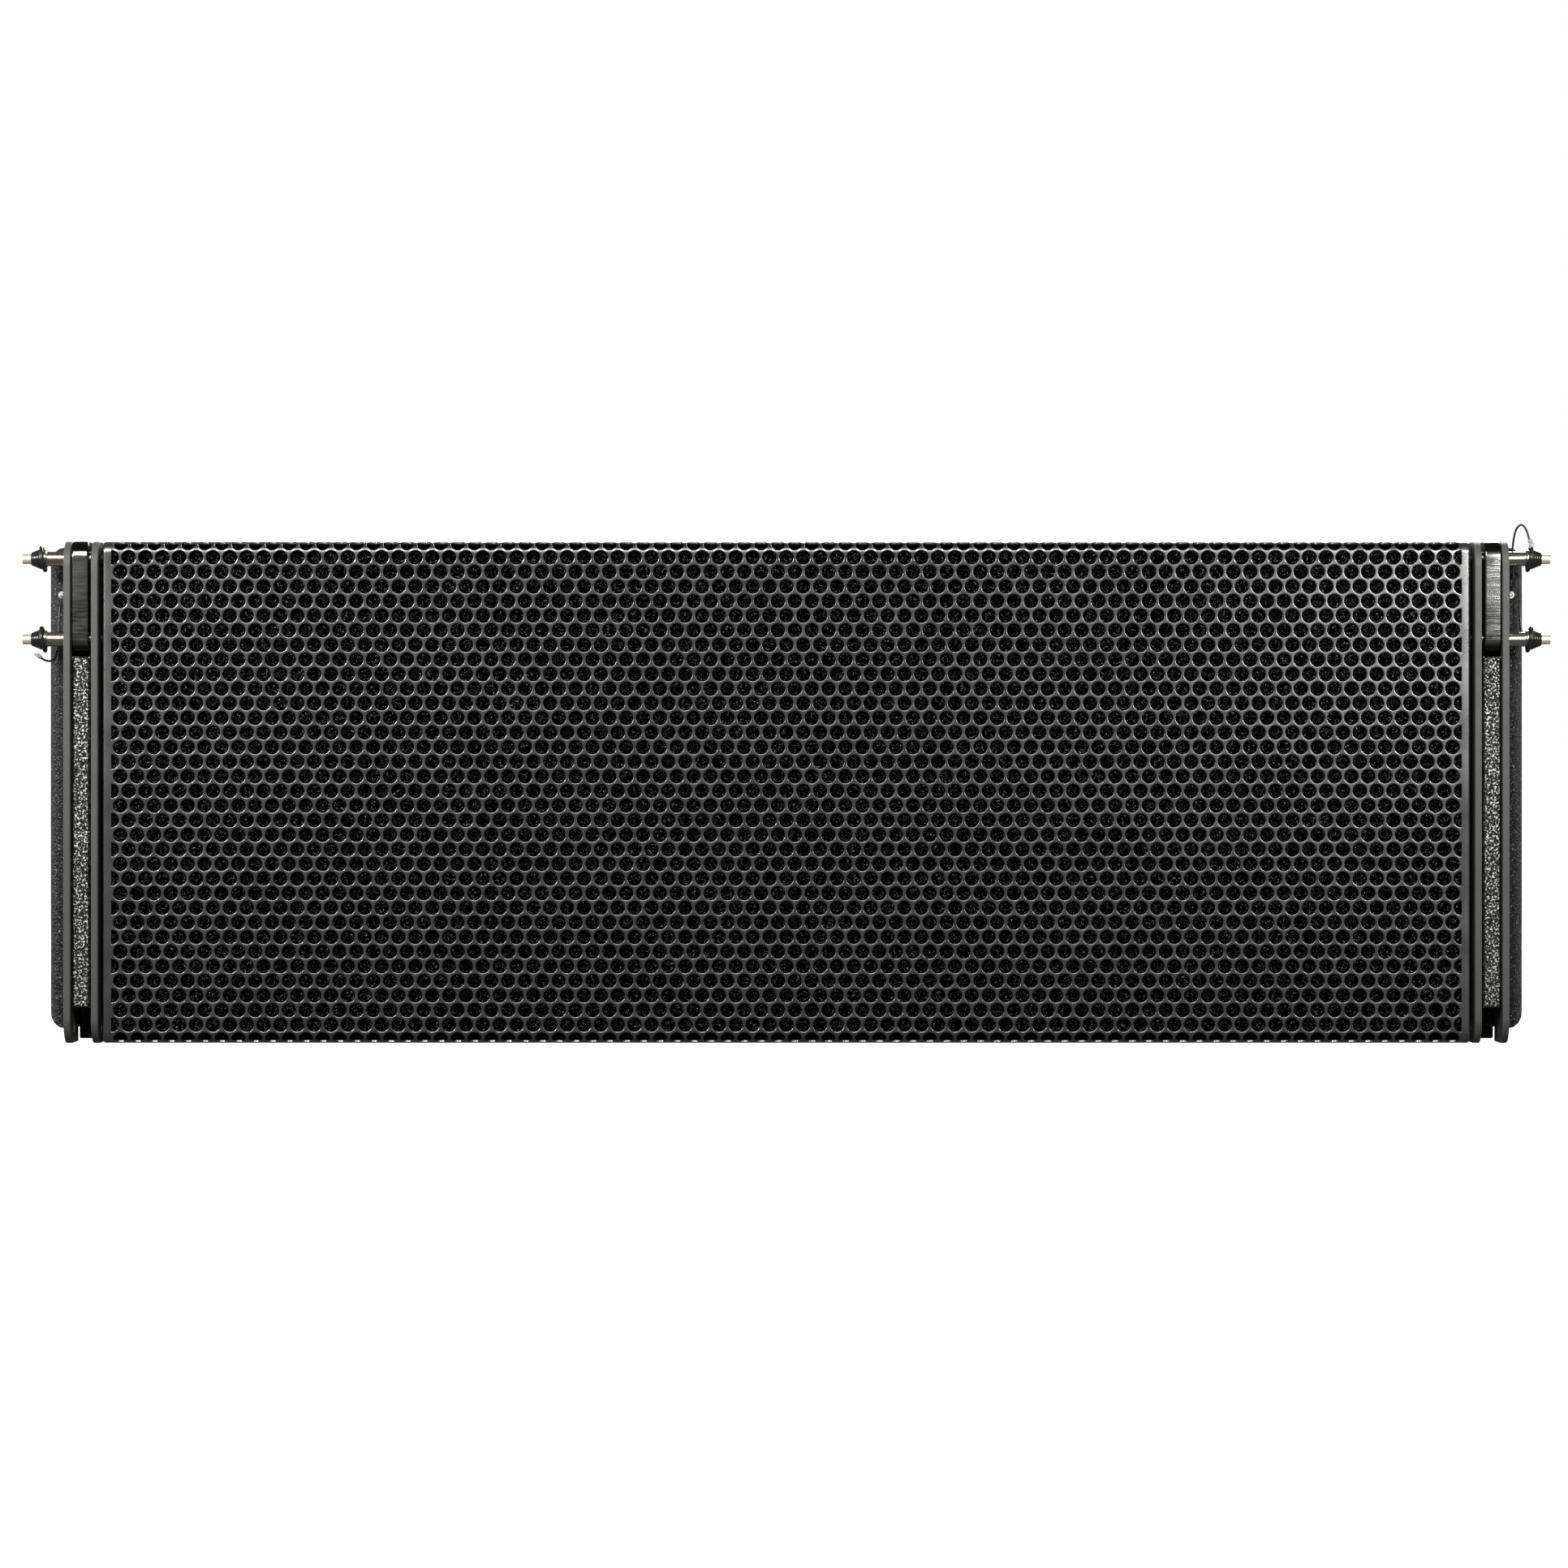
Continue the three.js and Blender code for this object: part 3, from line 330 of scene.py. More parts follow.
# name, colour, roughness, metallic, (scale, amount) of the variation, and the grain's
# (scale, detail, depth in mm) or None
PLAIN_FINISHES = {
    "button": ("button_metal", (0.93, 0.82, 0.74), 0.35, 0.6, (120, 0.05), (900, 2, 0.01)),
    "plastic": ("black_plastic", (0.014, 0.014, 0.015), 0.35, 0.0, (200, 0.01), (1400, 2, 0.04)),
    "gloss": ("gloss_plastic", (0.014, 0.014, 0.015), 0.18, 0.0, (200, 0.01), (1400, 2, 0.04)),
    "rubber": ("black_rubber", (0.018, 0.018, 0.018), 0.75, 0.0, (150, 0.012), (1200, 3, 0.08)),
    "sheath": ("wire_sheath", (0.01, 0.01, 0.01), 0.25, 0.0, (300, 0.01), None),
    "zinc": ("zinc_screw", (0.85, 0.85, 0.83), 0.35, 0.8, (500, 0.05), None),
    "screw": ("black_screw", (0.03, 0.03, 0.03), 0.35, 0.8, (500, 0.02), None),
    "cone": ("cone_paper", (0.02, 0.02, 0.022), 0.8, 0.0, (120, 0.015), (900, 4, 0.15)),
    "cast": ("cast_metal", (0.06, 0.06, 0.063), 0.45, 0.8, (50, 0.03), (700, 3, 0.1)),
}


def plain_finish(name, color, roughness, metallic, variation, grain):
    """A material that only has soft variation and, if it isn't None, a fine grain."""
    finish = Surface(name, color, roughness, metallic)
    finish.vary(*variation)
    if grain:
        scale, detail, depth = grain
        finish.bump(finish.noise(scale, detail), depth)
    return finish.material


def make_materials():
    made = {key: plain_finish(*finish) for key, finish in PLAIN_FINISHES.items()}
    made.update({
        # the second number is the brightness of the painted highlights on the coat's peaks, the
        # third the level above which they are painted
        "cabinet": textured_paint("textured_paint", 0.4, 0.65),
        "grain": textured_paint("spacer_paint", 0.9, 0.53),
        "plate": plate_coat(), "grille": grille_coat(), "foam": foam(), "bar": bar_steel(),
        "pin": pin_steel(), "sleeve": clear_sleeve(), "plywood": plywood(),
        "board": circuit_board(),
    })
    return made


# ------------------------------------------------------------------ mesh helpers

SHARP_ANGLE = math.radians(35)
ROUNDED_ANGLE = math.radians(40)  # edges sharper than this are rounded on the CAD solids
FLAT_ANGLE = math.radians(1)  # faces that meet at less than this become one
WELD = 1e-6  # metres, as is CAD_WELD: points closer than this are joined
CAD_WELD = 2e-5


def finish_mesh(obj, material, weighted=True):
    """Smooth shading with sharp edges and flat faces kept, and the one material."""
    mesh = obj.data
    mesh.shade_smooth()
    mesh.set_sharp_from_angle(angle=SHARP_ANGLE)
    mesh.materials.clear()
    mesh.materials.append(material)
    if weighted:
        flat_faces = obj.modifiers.new("flat_faces", "WEIGHTED_NORMAL")
        flat_faces.keep_sharp = True
    return obj


def link_mesh(name, mesh, material, weighted=True):
    obj = bpy.data.objects.new(name, mesh)
    bpy.context.collection.objects.link(obj)
    return finish_mesh(obj, material, weighted)


def weld_mesh(mesh, distance, finish=None):
    """Joins the points closer than the distance, and then finishes the bmesh if asked."""
    work = bmesh.new()
    work.from_mesh(mesh)
    bmesh.ops.remove_doubles(work, verts=work.verts, dist=distance)
    if finish:
        finish(work)
    work.to_mesh(mesh)
    work.free()


def face_outward(work):
    bmesh.ops.recalc_face_normals(work, faces=work.faces)


def join_flat_faces(work):
    bmesh.ops.dissolve_limit(work, angle_limit=FLAT_ANGLE, verts=work.verts, edges=work.edges)


def mesh_from(name, vertices, faces, material, weld=WELD, weighted=True):
    mesh = bpy.data.meshes.new(name)
    mesh.from_pydata([tuple(v) for v in vertices], [], faces)
    weld_mesh(mesh, weld, face_outward)
    return link_mesh(name, mesh, material, weighted)


def band_faces(start, rings, sides):
    """The faces between successive rings of points, where start is the first ring's first."""
    faces = []
    for i in range(rings - 1):
        for k in range(sides):
            a, b = start + i * sides + k, start + i * sides + (k + 1) % sides
            faces.append((a, b, b + sides, a + sides))
    return faces


def settle(piece, body, slot, *nodes):
    """The piece moves with the body and stands for the CAD nodes, which are hidden; the slot is
    not used.
    """
    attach(piece, body)
    if nodes:
        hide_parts(*nodes)


def corners_of(node):
    return [Vector(corner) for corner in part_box(node)]


def rear_middle(node):
    """The middle of the rear face of the node's box."""
    low, high = corners_of(node)
    return Vector(((low.x + high.x) / 2, high.y, (low.z + high.z) / 2))


def axis_basis(direction):
    """The unit vector along a direction and two across it."""
    forward = Vector(direction).normalized()
    other = Vector((0, 0, 1)) if abs(forward.z) < 0.9 else Vector((1, 0, 0))
    across = forward.cross(other).normalized()
    return forward, across, forward.cross(across)


def turned(name, profile, start, direction, material, segments=40):
    """A solid turned about an axis, from (radius, distance along it) points in mm."""
    forward, across, up = axis_basis(direction)
    vertices = []
    for radius, distance in profile:
        for k in range(segments):
            turn = 2 * math.pi * k / segments
            spoke = across * math.cos(turn) + up * math.sin(turn)
            vertices.append(Vector(start) + forward * distance * MM + spoke * radius * MM)
    return mesh_from(name, vertices, band_faces(0, len(profile), segments), material)


def flat_outline(name, outlines, x0, x1, bevel, material):
    """A plate drawn in (depth, height) with its holes, from x0 to x1 mm, with rounded edges."""
    data = bpy.data.curves.new(name, "CURVE")
    data.dimensions = "2D"
    data.fill_mode = "BOTH"
    data.extrude = abs(x1 - x0) / 2 * MM - bevel * MM
    data.bevel_depth = bevel * MM
    data.bevel_resolution = 3
    data.offset = -bevel * MM
    for outline in outlines:
        spline = data.splines.new("POLY")
        spline.points.add(len(outline) - 1)
        for point, (depth, z) in zip(spline.points, outline):
            point.co = (FRONT_Y + depth * MM, z * MM, 0, 1)
        spline.use_cyclic_u = True
    drawn = bpy.data.objects.new(name, data)
    bpy.context.collection.objects.link(drawn)
    evaluated = drawn.evaluated_get(bpy.context.evaluated_depsgraph_get())
    mesh = bpy.data.meshes.new_from_object(evaluated)
    bpy.data.objects.remove(drawn)
    lay_across = Matrix(((0, 0, 1, 0), (1, 0, 0, 0), (0, 1, 0, 0), (0, 0, 0, 1)))
    mesh.transform(Matrix.Translation(((x0 + x1) / 2 * MM, 0, 0)) @ lay_across)
    weld_mesh(mesh, WELD)
    return link_mesh(name, mesh, material)


def arc(u, v, radius, start, end, steps=10):
    """Points on an arc in mm; the angles are in degrees."""
    turns = [math.radians(start + (end - start) * i / steps) for i in range(steps + 1)]
    return [(u + radius * math.cos(t), v + radius * math.sin(t)) for t in turns]


def circle(u, v, radius):
    return arc(u, v, radius, 0, 360, 28)[:-1]


def slot_shape(u, v0, v1, radius):
    """A slot's outline, with its round ends centred on v0 and v1."""
    return arc(u, v1, radius, 0, 180) + arc(u, v0, radius, 180, 360)


def rounded_box(u0, v0, u1, v1, radius):
    steps = 8
    return (arc(u1 - radius, v0 + radius, radius, -90, 0, steps)
            + arc(u1 - radius, v1 - radius, radius, 0, 90, steps)
            + arc(u0 + radius, v1 - radius, radius, 90, 180, steps)
            + arc(u0 + radius, v0 + radius, radius, 180, 270, steps))


def refined(node, material, bevel):
    """A copy of a fixed CAD node's solid with rounded edges, which stands for the node."""
    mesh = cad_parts[node].data.copy()
    weld_mesh(mesh, CAD_WELD, join_flat_faces)
    obj = bpy.data.objects.new(f"{node}_shell", mesh)
    bpy.context.collection.objects.link(obj)
    rounding = obj.modifiers.new("rounding", "BEVEL")
    rounding.width = bevel * MM
    rounding.segments = 3
    rounding.limit_method = "ANGLE"
    rounding.angle_limit = ROUNDED_ANGLE
    evaluated = obj.evaluated_get(bpy.context.evaluated_depsgraph_get())
    rounded = bpy.data.meshes.new_from_object(evaluated)
    obj.modifiers.clear()
    obj.data = rounded
    finish_mesh(obj, material)
    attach(obj, "root")
    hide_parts(node)


def merged(name, pieces, material):
    """Several meshes made into one piece."""
    work = bmesh.new()
    for piece in pieces:
        work.from_mesh(piece.data)
        bpy.data.objects.remove(piece)
    mesh = bpy.data.meshes.new(name)
    work.to_mesh(mesh)
    work.free()
    return link_mesh(name, mesh, material)


# ------------------------------------------------------------------ lanyards

LANYARD_DIAMETER = 1.5
# (width outward, depth, height) in mm: from the anchor, behind the pin, to the pin's flange.
LANYARD_ROUTES = {
    ("upper", "right"): [
        (520.9, 40, 324.2), (521.7, 36.9, 331.3), (521.2, 36, 339.4), (521, 35.6, 347.4),
        (521.1, 34.6, 355.5), (521.9, 33, 362.5), (523.4, 31, 368), (526.2, 29, 370.7),
        (528.6, 27.4, 369), (530.3, 26.3, 365.2), (531.6, 25.5, 360.6), (533, 25, 356.6)],
    ("lower", "left"): [
        (520.9, 40, 317.8), (521.8, 37.4, 310.2), (521.7, 36.2, 302), (521.8, 35.8, 294),
        (522.4, 35.4, 285.9), (523.4, 34.2, 278.8), (525, 32, 274.6), (527.6, 29.4, 273.1),
        (530.6, 27.2, 273.6), (533.5, 25.7, 275.4), (536.1, 25, 277.9)],
    ("lower", "right"): [
        (520.9, 41.4, 323.4), (520.9, 42.6, 327.5), (521.1, 43, 332.1), (522.4, 42, 335.6),
        (524.5, 40, 336.1), (525.9, 38.6, 332.4), (526.1, 38.4, 326.3), (526.1, 38.6, 319.3),
        (526.5, 38.8, 312.2), (526.8, 38.6, 305.1), (527.4, 38, 298.1), (528.5, 37.4, 291.5),
        (530.6, 36.8, 287.1), (533.4, 36.2, 285.7), (535.9, 35.4, 287.1)],
}
LANYARD_STEPS = 4  # tube sections between two points of a route
SLEEVE_LENGTH = 5.4
SLEEVE_AHEAD = 1.6  # how far it reaches past the wire's end, to the pin's ring


def smooth_path(points):
    """A Catmull-Rom curve through the points."""
    ends = [points[0] * 2 - points[1], *points, points[-1] * 2 - points[-2]]
    path = []
    for i in range(len(points) - 1):
        a, b, c, d = ends[i:i + 4]
        for k in range(LANYARD_STEPS):
            t = k / LANYARD_STEPS
            path.append(0.5 * (2 * b + (c - a) * t + (2 * a - 5 * b + 4 * c - d) * t * t
                               + (3 * b - a - 3 * c + d) * t ** 3))
    return [*path, points[-1]]


def tube(name, path, radius, material, sides=12):
    """A round tube along a path, closed at both ends, with rings square to the path."""
    vertices = []
    tangent = (path[1] - path[0]).normalized()
    across = axis_basis(tangent)[1]
    for i, point in enumerate(path):
        tangent = (path[min(i + 1, len(path) - 1)] - path[max(i - 1, 0)]).normalized()
        across = (across - tangent * across.dot(tangent)).normalized()
        up = tangent.cross(across)
        for k in range(sides):
            turn = 2 * math.pi * k / sides
            vertices.append(point + (across * math.cos(turn) + up * math.sin(turn)) * radius)
    faces = band_faces(0, len(path), sides)
    faces.append(tuple(range(sides)))
    faces.append(tuple(range((len(path) - 1) * sides, len(path) * sides)))
    return mesh_from(name, vertices, faces, material, weighted=False)


def make_lanyard(level, side_name, materials):
    """A stiff wire from the side's screw to a pin; its sleeve moves with the pin."""
    side = SIDES[side_name]
    route = [at(side * x, depth, z) for x, depth, z in LANYARD_ROUTES[level, side_name]]
    path = smooth_path(route)
    node = f"lanyard_{level}_{side_name}"
    pin = f"{level}_pin_{side_name}"
    wire = tube(f"{node}_wire", path, LANYARD_DIAMETER / 2 * MM, materials["sheath"])
    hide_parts(node)
    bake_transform(wire)
    sleeve = make_sleeve(f"{node}_sleeve", path, materials)
    settle(sleeve, pin, "lanyard_sheath")


def make_sleeve(name, path, materials):
    """The clear sleeve over the crimp that closes the wire's loop at the pin."""
    end, before = path[-1], path[-1 - LANYARD_STEPS]
    back = (before - end).normalized()
    profile = [(0.8, 0), (1.4, 0), (1.75, 0.6), (1.7, 2.1), (1.4, 2.6), (1.4, 2.9),
               (1.7, 3.4), (1.6, SLEEVE_LENGTH - 0.6), (1.2, SLEEVE_LENGTH), (0.8, SLEEVE_LENGTH)]
    front = end - back * SLEEVE_AHEAD * MM
    return turned(name, profile, front, back, materials["sleeve"], 24)


# ------------------------------------------------------------------ grille and foam

HOLE_PITCH = 12.0
ROW_PITCH = HOLE_PITCH * math.sqrt(3) / 2
HOLE_RADIUS = 5.0
HOLE_ROUNDING = 0.65  # radius of the rolled edge of each hole
HOLE_SIDES = 18
HEXAGON_REACH = HOLE_PITCH / math.sqrt(3)  # from the middle of a cell to its corners
EDGE_POINTS = HOLE_SIDES // 6  # points of the hole for each side of its cell
HALF_ROWS = 16  # rows above and below the middle one, before the rows in the bends
INNER_COLUMNS = 20  # columns of holes in an inner sheet
COLUMNS = 41  # columns from the middle to one side
INNER_EDGE = INNER_COLUMNS * HOLE_PITCH
SHEET = 1.5
BEND = 8.0
LOWEST_EDGE = 0.4  # the lowest row's cells end this far past the bend
SIDE_BEND = 1.8
SIDE_FLANGE = 12.0
BEND_FLANGE = 6.0  # the side flange is shorter in the bends, and shorter still beyond them
END_FLANGE = 2.5
GRILLE_MIDDLE_SHIFT = 1.0  # the middle row of holes lies this far above the middle of the tray
PERFORATED_HALF_WIDTH = 480.3
BORDER_START = 481.3
BORDER_SNAP = 1.8  # corners of cells this close to the border lie on it


class Tray:
    """The bent tray's outer surface, unrolled: s runs up the front and over the bends."""
    low, high = [corner[2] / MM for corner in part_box("grille")]
    front = (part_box("grille")[0][1] - FRONT_Y) / MM
    back = (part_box("grille")[1][1] - FRONT_Y) / MM
    half_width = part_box("grille")[1][0] / MM
    quarter = BEND * math.pi / 2
    flange = back - front - BEND
    top, bottom = high - BEND, low + BEND

    @classmethod
    def place(cls, x, s, inset=0.0):
        """A point at width x and unrolled height s, inset under the outer surface."""
        if s > cls.top:
            beyond, side, start = s - cls.top, 1, cls.top
        elif s < cls.bottom:
            beyond, side, start = cls.bottom - s, -1, cls.bottom
        else:
            return at(x, cls.front + inset, s)
        turn = min(beyond / BEND, math.pi / 2)
        straight = max(0.0, beyond - cls.quarter)
        radius = BEND - inset
        depth = cls.front + BEND - radius * math.cos(turn) + straight
        return at(x, depth, start + side * radius * math.sin(turn))


def cell_outline(x, s, dense, edge_s):
    """The cell's boundary: six corners, or as many points as the hole has in the bends."""
    corners = []
    for i in range(6):
        turn = math.radians(30 + 60 * i)
        across = x + HEXAGON_REACH * math.cos(turn)
        up = HEXAGON_REACH * math.sin(turn)
        if abs(across) > BORDER_START - BORDER_SNAP:
            across = math.copysign(BORDER_START, across)
        beyond = edge_s is not None and (edge_s - s) * up > 0
        corners.append((across, edge_s if beyond else s + up))
    if not dense:
        return corners
    points = []
    for (u0, v0), (u1, v1) in zip(corners, corners[1:] + corners[:1]):
        for k in range(EDGE_POINTS):
            along = k / EDGE_POINTS
            points.append((u0 + (u1 - u0) * along, v0 + (v1 - v0) * along))
    return points


def add_cell(vertices, faces, x, s, dense, edge_s):
    """One hole with the sheet around it, front and back, and the wall of the hole."""
    def ring(radius, limit):
        points = []
        for k in range(HOLE_SIDES):
            turn = math.radians(30 + 360 * k / HOLE_SIDES)
            u = x + radius * math.cos(turn)
            points.append((max(-limit, min(limit, u)), s + radius * math.sin(turn)))
        return points

    def put(points, inset):
        start = len(vertices)
        vertices.extend(Tray.place(u, v, inset) for u, v in points)
        return start

    def join(first, second):
        for k in range(HOLE_SIDES):
            after = (k + 1) % HOLE_SIDES
            faces.append((first + k, second + k, second + after, first + after))

    outline = cell_outline(x, s, dense, edge_s)
    hole = ring(HOLE_RADIUS, PERFORATED_HALF_WIDTH)
    loops = []
    for turn in (0, 30, 60, 90):
        short = 1 - math.sin(math.radians(turn))
        inset = HOLE_ROUNDING * (1 - math.cos(math.radians(turn)))
        rim = ring(HOLE_RADIUS + HOLE_ROUNDING * short, PERFORATED_HALF_WIDTH + 0.3 * short)
        loops.append(put(rim, inset))
    loops.append(put(hole, SHEET))
    for first, second in zip(loops, loops[1:]):
        join(first, second)
    for inset, inner in ((0, loops[0]), (SHEET, loops[-1])):
        outer = put(outline, inset)
        if dense:
            middle = put([((a[0] + b[0]) / 2, (a[1] + b[1]) / 2)
                          for a, b in zip(outline, hole)], inset)
            join(outer, middle)
            join(middle, inner)
            continue
        for i in range(6):
            near = [inner + (EDGE_POINTS * i + j) % HOLE_SIDES for j in range(EDGE_POINTS, -1, -1)]
            faces.append((outer + i, outer + (i + 1) % 6, *near))


def grille_rows():
    """(unrolled height, offset row or not, dense or not, straight edge beyond it) of each row."""
    middle = (Tray.low + Tray.high) / 2 + GRILLE_MIDDLE_SHIFT
    for k in range(-HALF_ROWS - 1, HALF_ROWS + 2):
        s = middle + k * ROW_PITCH
        edge = None
        if k == HALF_ROWS + 1:
            edge = s + HEXAGON_REACH
        elif k == -HALF_ROWS - 1:
            edge = Tray.bottom - Tray.quarter - LOWEST_EDGE
        yield s, k % 2 == 1, abs(k) >= HALF_ROWS, edge


def add_border(vertices, faces, side, edges):
    """The plain strip down one side of the tray, its rounded bend and its short flange."""
    outer = Tray.half_width
    section = [(BORDER_START, 0.0)]
    for i in range(5):
        turn = i / 4 * math.pi / 2
        section.append((outer - SIDE_BEND + SIDE_BEND * math.sin(turn),
                        SIDE_BEND - SIDE_BEND * math.cos(turn)))
    levels = [Tray.bottom - Tray.quarter - Tray.flange, edges[0]]
    levels += [Tray.bottom - Tray.quarter * i / 8 for i in range(8, -1, -1)]
    levels += [Tray.top + Tray.quarter * i / 8 for i in range(9)]
    levels += [edges[1], Tray.top + Tray.quarter + Tray.flange]
    start = len(vertices)
    for s in sorted(levels):
        on_front = Tray.bottom <= s <= Tray.top
        in_bend = Tray.bottom - Tray.quarter - 0.01 <= s <= Tray.top + Tray.quarter + 0.01
        deep = SIDE_FLANGE if on_front else (BEND_FLANGE if in_bend else END_FLANGE)
        loop = section + [(outer, deep), (outer - SHEET, deep), (outer - SHEET, SHEET + 0.3),
                          (outer - SHEET - 0.3, SHEET), (BORDER_START, SHEET)]
        vertices.extend(Tray.place(side * x, s, inset) for x, inset in loop)
    count = len(section) + 5
    faces.extend(band_faces(start, len(levels), count))
    last = start + (len(levels) - 1) * count
    faces.append(tuple(range(start, start + count)))
    faces.append(tuple(range(last, last + count)))


def add_flange(vertices, faces, low_x, high_x, edge, end):
    """The plain part of the top or bottom flange, from the last row of holes to its rear edge."""
    steps = 12
    start = len(vertices)
    for i in range(steps + 1):
        x = low_x + (high_x - low_x) * i / steps
        for s, inset in ((edge, 0), (end, 0), (end, SHEET), (edge, SHEET)):
            vertices.append(Tray.place(x, s, inset))
    faces.extend(band_faces(start, steps + 1, 4))


def make_grille(materials):
    """The perforated tray, made as four sheets whose cells fit together like one."""
    ends = [Tray.bottom - Tray.quarter - Tray.flange, Tray.top + Tray.quarter + Tray.flange]
    edges = [edge for *_, edge in grille_rows() if edge is not None]
    for side_name, side in SIDES.items():
        for part_name, first, last in (("inner", 0, INNER_COLUMNS),
                                       ("outer", INNER_COLUMNS, COLUMNS)):
            vertices, faces = [], []
            for s, offset, dense, edge in grille_rows():
                for i in range(first, last):
                    x = side * ((i + 0.5) * HOLE_PITCH if offset else i * HOLE_PITCH)
                    on_this_side = x != 0 or side > 0
                    if abs(x) < PERFORATED_HALF_WIDTH + HOLE_RADIUS / 3 and on_this_side:
                        add_cell(vertices, faces, x, s, dense, edge)
            near, far = (0.0, INNER_EDGE) if part_name == "inner" else (INNER_EDGE, BORDER_START)
            for edge, end in zip(edges, ends):
                add_flange(vertices, faces, *sorted((side * near, side * far)), edge, end)
            if part_name == "outer":
                add_border(vertices, faces, side, edges)
            name = f"grille_{side_name}_{part_name}_sheet"
            sheet = mesh_from(name, vertices, faces, materials["grille"], 2 * WELD)
            settle(sheet, "root", "grille_grey", "grille")


FOAM_GRID = (120, 44)
FOAM_UNEVENNESS = 0.5
FOAM_EDGE_DROP = 1.5


def make_foam(materials):
    """A thin sheet of foam with a slightly uneven face and soft edges."""
    low, high = corners_of("grille_foam")
    random.seed(3)
    across, up = FOAM_GRID
    vertices, faces = [], []
    for j in range(up + 1):
        for i in range(across + 1):
            x = low.x + (high.x - low.x) * i / across
            z = low.z + (high.z - low.z) * j / up
            on_edge = i in (0, across) or j in (0, up)
            drop = FOAM_EDGE_DROP if on_edge else random.uniform(0.0, FOAM_UNEVENNESS)
            vertices.append((x, low.y + drop * MM, z))
    closed_skin(vertices, faces, across, up, high.y)
    sheet = mesh_from("foam_sheet", vertices, faces, materials["foam"])
    settle(sheet, "root", "acoustic_foam", "grille_foam")


# ------------------------------------------------------------------ cabinet

GRAIN_STEP = 0.6
GRAIN_HEIGHT = 0.9
GRAIN_SIZE = 1.3
GRAIN_ROUNDING = 2.0  # width of the band along the edges where the coat falls away
GRAIN_LIFT = 0.2  # of the coat's mean level over the bare spacer
GRAIN_EDGE_DROP = 1.2
GRAIN_BACK = 1.5  # depth of the coat's hidden back inside the spacer
SPACER_FACE_Z = (25.5, 275.5)


def make_grain(side_name, materials):
    """The thick, knobbly coat on the front of a spacer, as a closed skin with real bumps."""
    low, high = corners_of(f"front_spacer_{side_name}")
    width = (high.x - low.x) / MM
    height = SPACER_FACE_Z[1] - SPACER_FACE_Z[0]
    front = (low.y - FRONT_Y) / MM
    across, up = round(width / GRAIN_STEP), round(height / GRAIN_STEP)
    vertices, faces = [], []
    for j in range(up + 1):
        for i in range(across + 1):
            x, z = low.x / MM + width * i / across, SPACER_FACE_Z[0] + height * j / up
            inward = min(i, across - i) * GRAIN_STEP, min(j, up - j) * GRAIN_STEP
            edge = max(0.0, 1 - min(inward) / GRAIN_ROUNDING)
            bump = noise.noise(Vector((x, z, front)) / GRAIN_SIZE) * GRAIN_HEIGHT
            depth = front - GRAIN_LIFT + GRAIN_EDGE_DROP * edge ** 2 - bump * (1 - edge)
            vertices.append(at(x, depth, z))
    closed_skin(vertices, faces, across, up, at(0, front + GRAIN_BACK, 0).y)
    skin = mesh_from(f"front_spacer_{side_name}_grain", vertices, faces, materials["grain"])
    settle(skin, "root", "cabinet_black")


def closed_skin(vertices, faces, across, up, back):
    """Faces over a grid of points, with a rim and a flat back at the given y."""
    width = across + 1
    for j in range(up):
        for i in range(across):
            a = j * width + i
            faces.append((a, a + 1, a + 1 + width, a + width))
    count = len(vertices)
    rim = ([i for i in range(across + 1)] + [j * width + across for j in range(1, up + 1)]
           + [up * width + i for i in range(across - 1, -1, -1)]
           + [j * width for j in range(up - 1, 0, -1)])
    vertices.extend([(vertices[index][0], back, vertices[index][2]) for index in rim])
    for k in range(len(rim)):
        after = (k + 1) % len(rim)
        faces.append((rim[k], rim[after], count + after, count + k))
    faces.append(tuple(range(count, count + len(rim))))


def make_cabinet(materials):
    """The boards, each with edges rounded by its thick coat or, inside, by the saw."""
    for node in ("top_panel", "bottom_panel", "rear_panel"):
        refined(node, materials["cabinet"], 1.5)
    refined("front_baffle", materials["cabinet"], 0.8)
    for name in SIDES:
        refined(f"side_panel_{name}", materials["cabinet"], 0.6)
        refined(f"front_spacer_{name}", materials["cabinet"], 1.2)
        make_grain(name, materials)
        refined(f"divider_{name}", materials["plywood"], 0.4)


# ------------------------------------------------------------------ front rigging

PLATE_HEIGHT = 358.0
PLATE_CORNER = 18.0
TAB_DEPTH = 48.0  # the plates have their full height up to here
TAIL_DEPTH = 110.0
TAIL_Z = (32.0, 332.0)
PIN_DEPTH = 25.0
PIN_HOLE = 5.3
UPPER_PIN_Z = 346.0
LOWER_PIN_Z = 288.5
BOTTOM_HOLE_Z = 12.0
LINK_CORNER = 12.0
LINK_TRAVEL = 24.0


def corner_plate_outline():
    """A full-height tab with round front corners, and a lower tail inside the cabinet."""
    corner = PLATE_CORNER
    outer = (arc(corner, PLATE_HEIGHT - corner, corner, 90, 180)
             + arc(corner, corner, corner, 180, 270)
             + [(TAB_DEPTH, 0), (TAB_DEPTH, TAIL_Z[0]), (TAIL_DEPTH, TAIL_Z[0]),
                (TAIL_DEPTH, TAIL_Z[1]), (TAB_DEPTH, TAIL_Z[1]), (TAB_DEPTH, PLATE_HEIGHT)])
    holes = [circle(PIN_DEPTH, z, PIN_HOLE) for z in (BOTTOM_HOLE_Z, LOWER_PIN_Z, UPPER_PIN_Z)]
    return [outer, *holes]


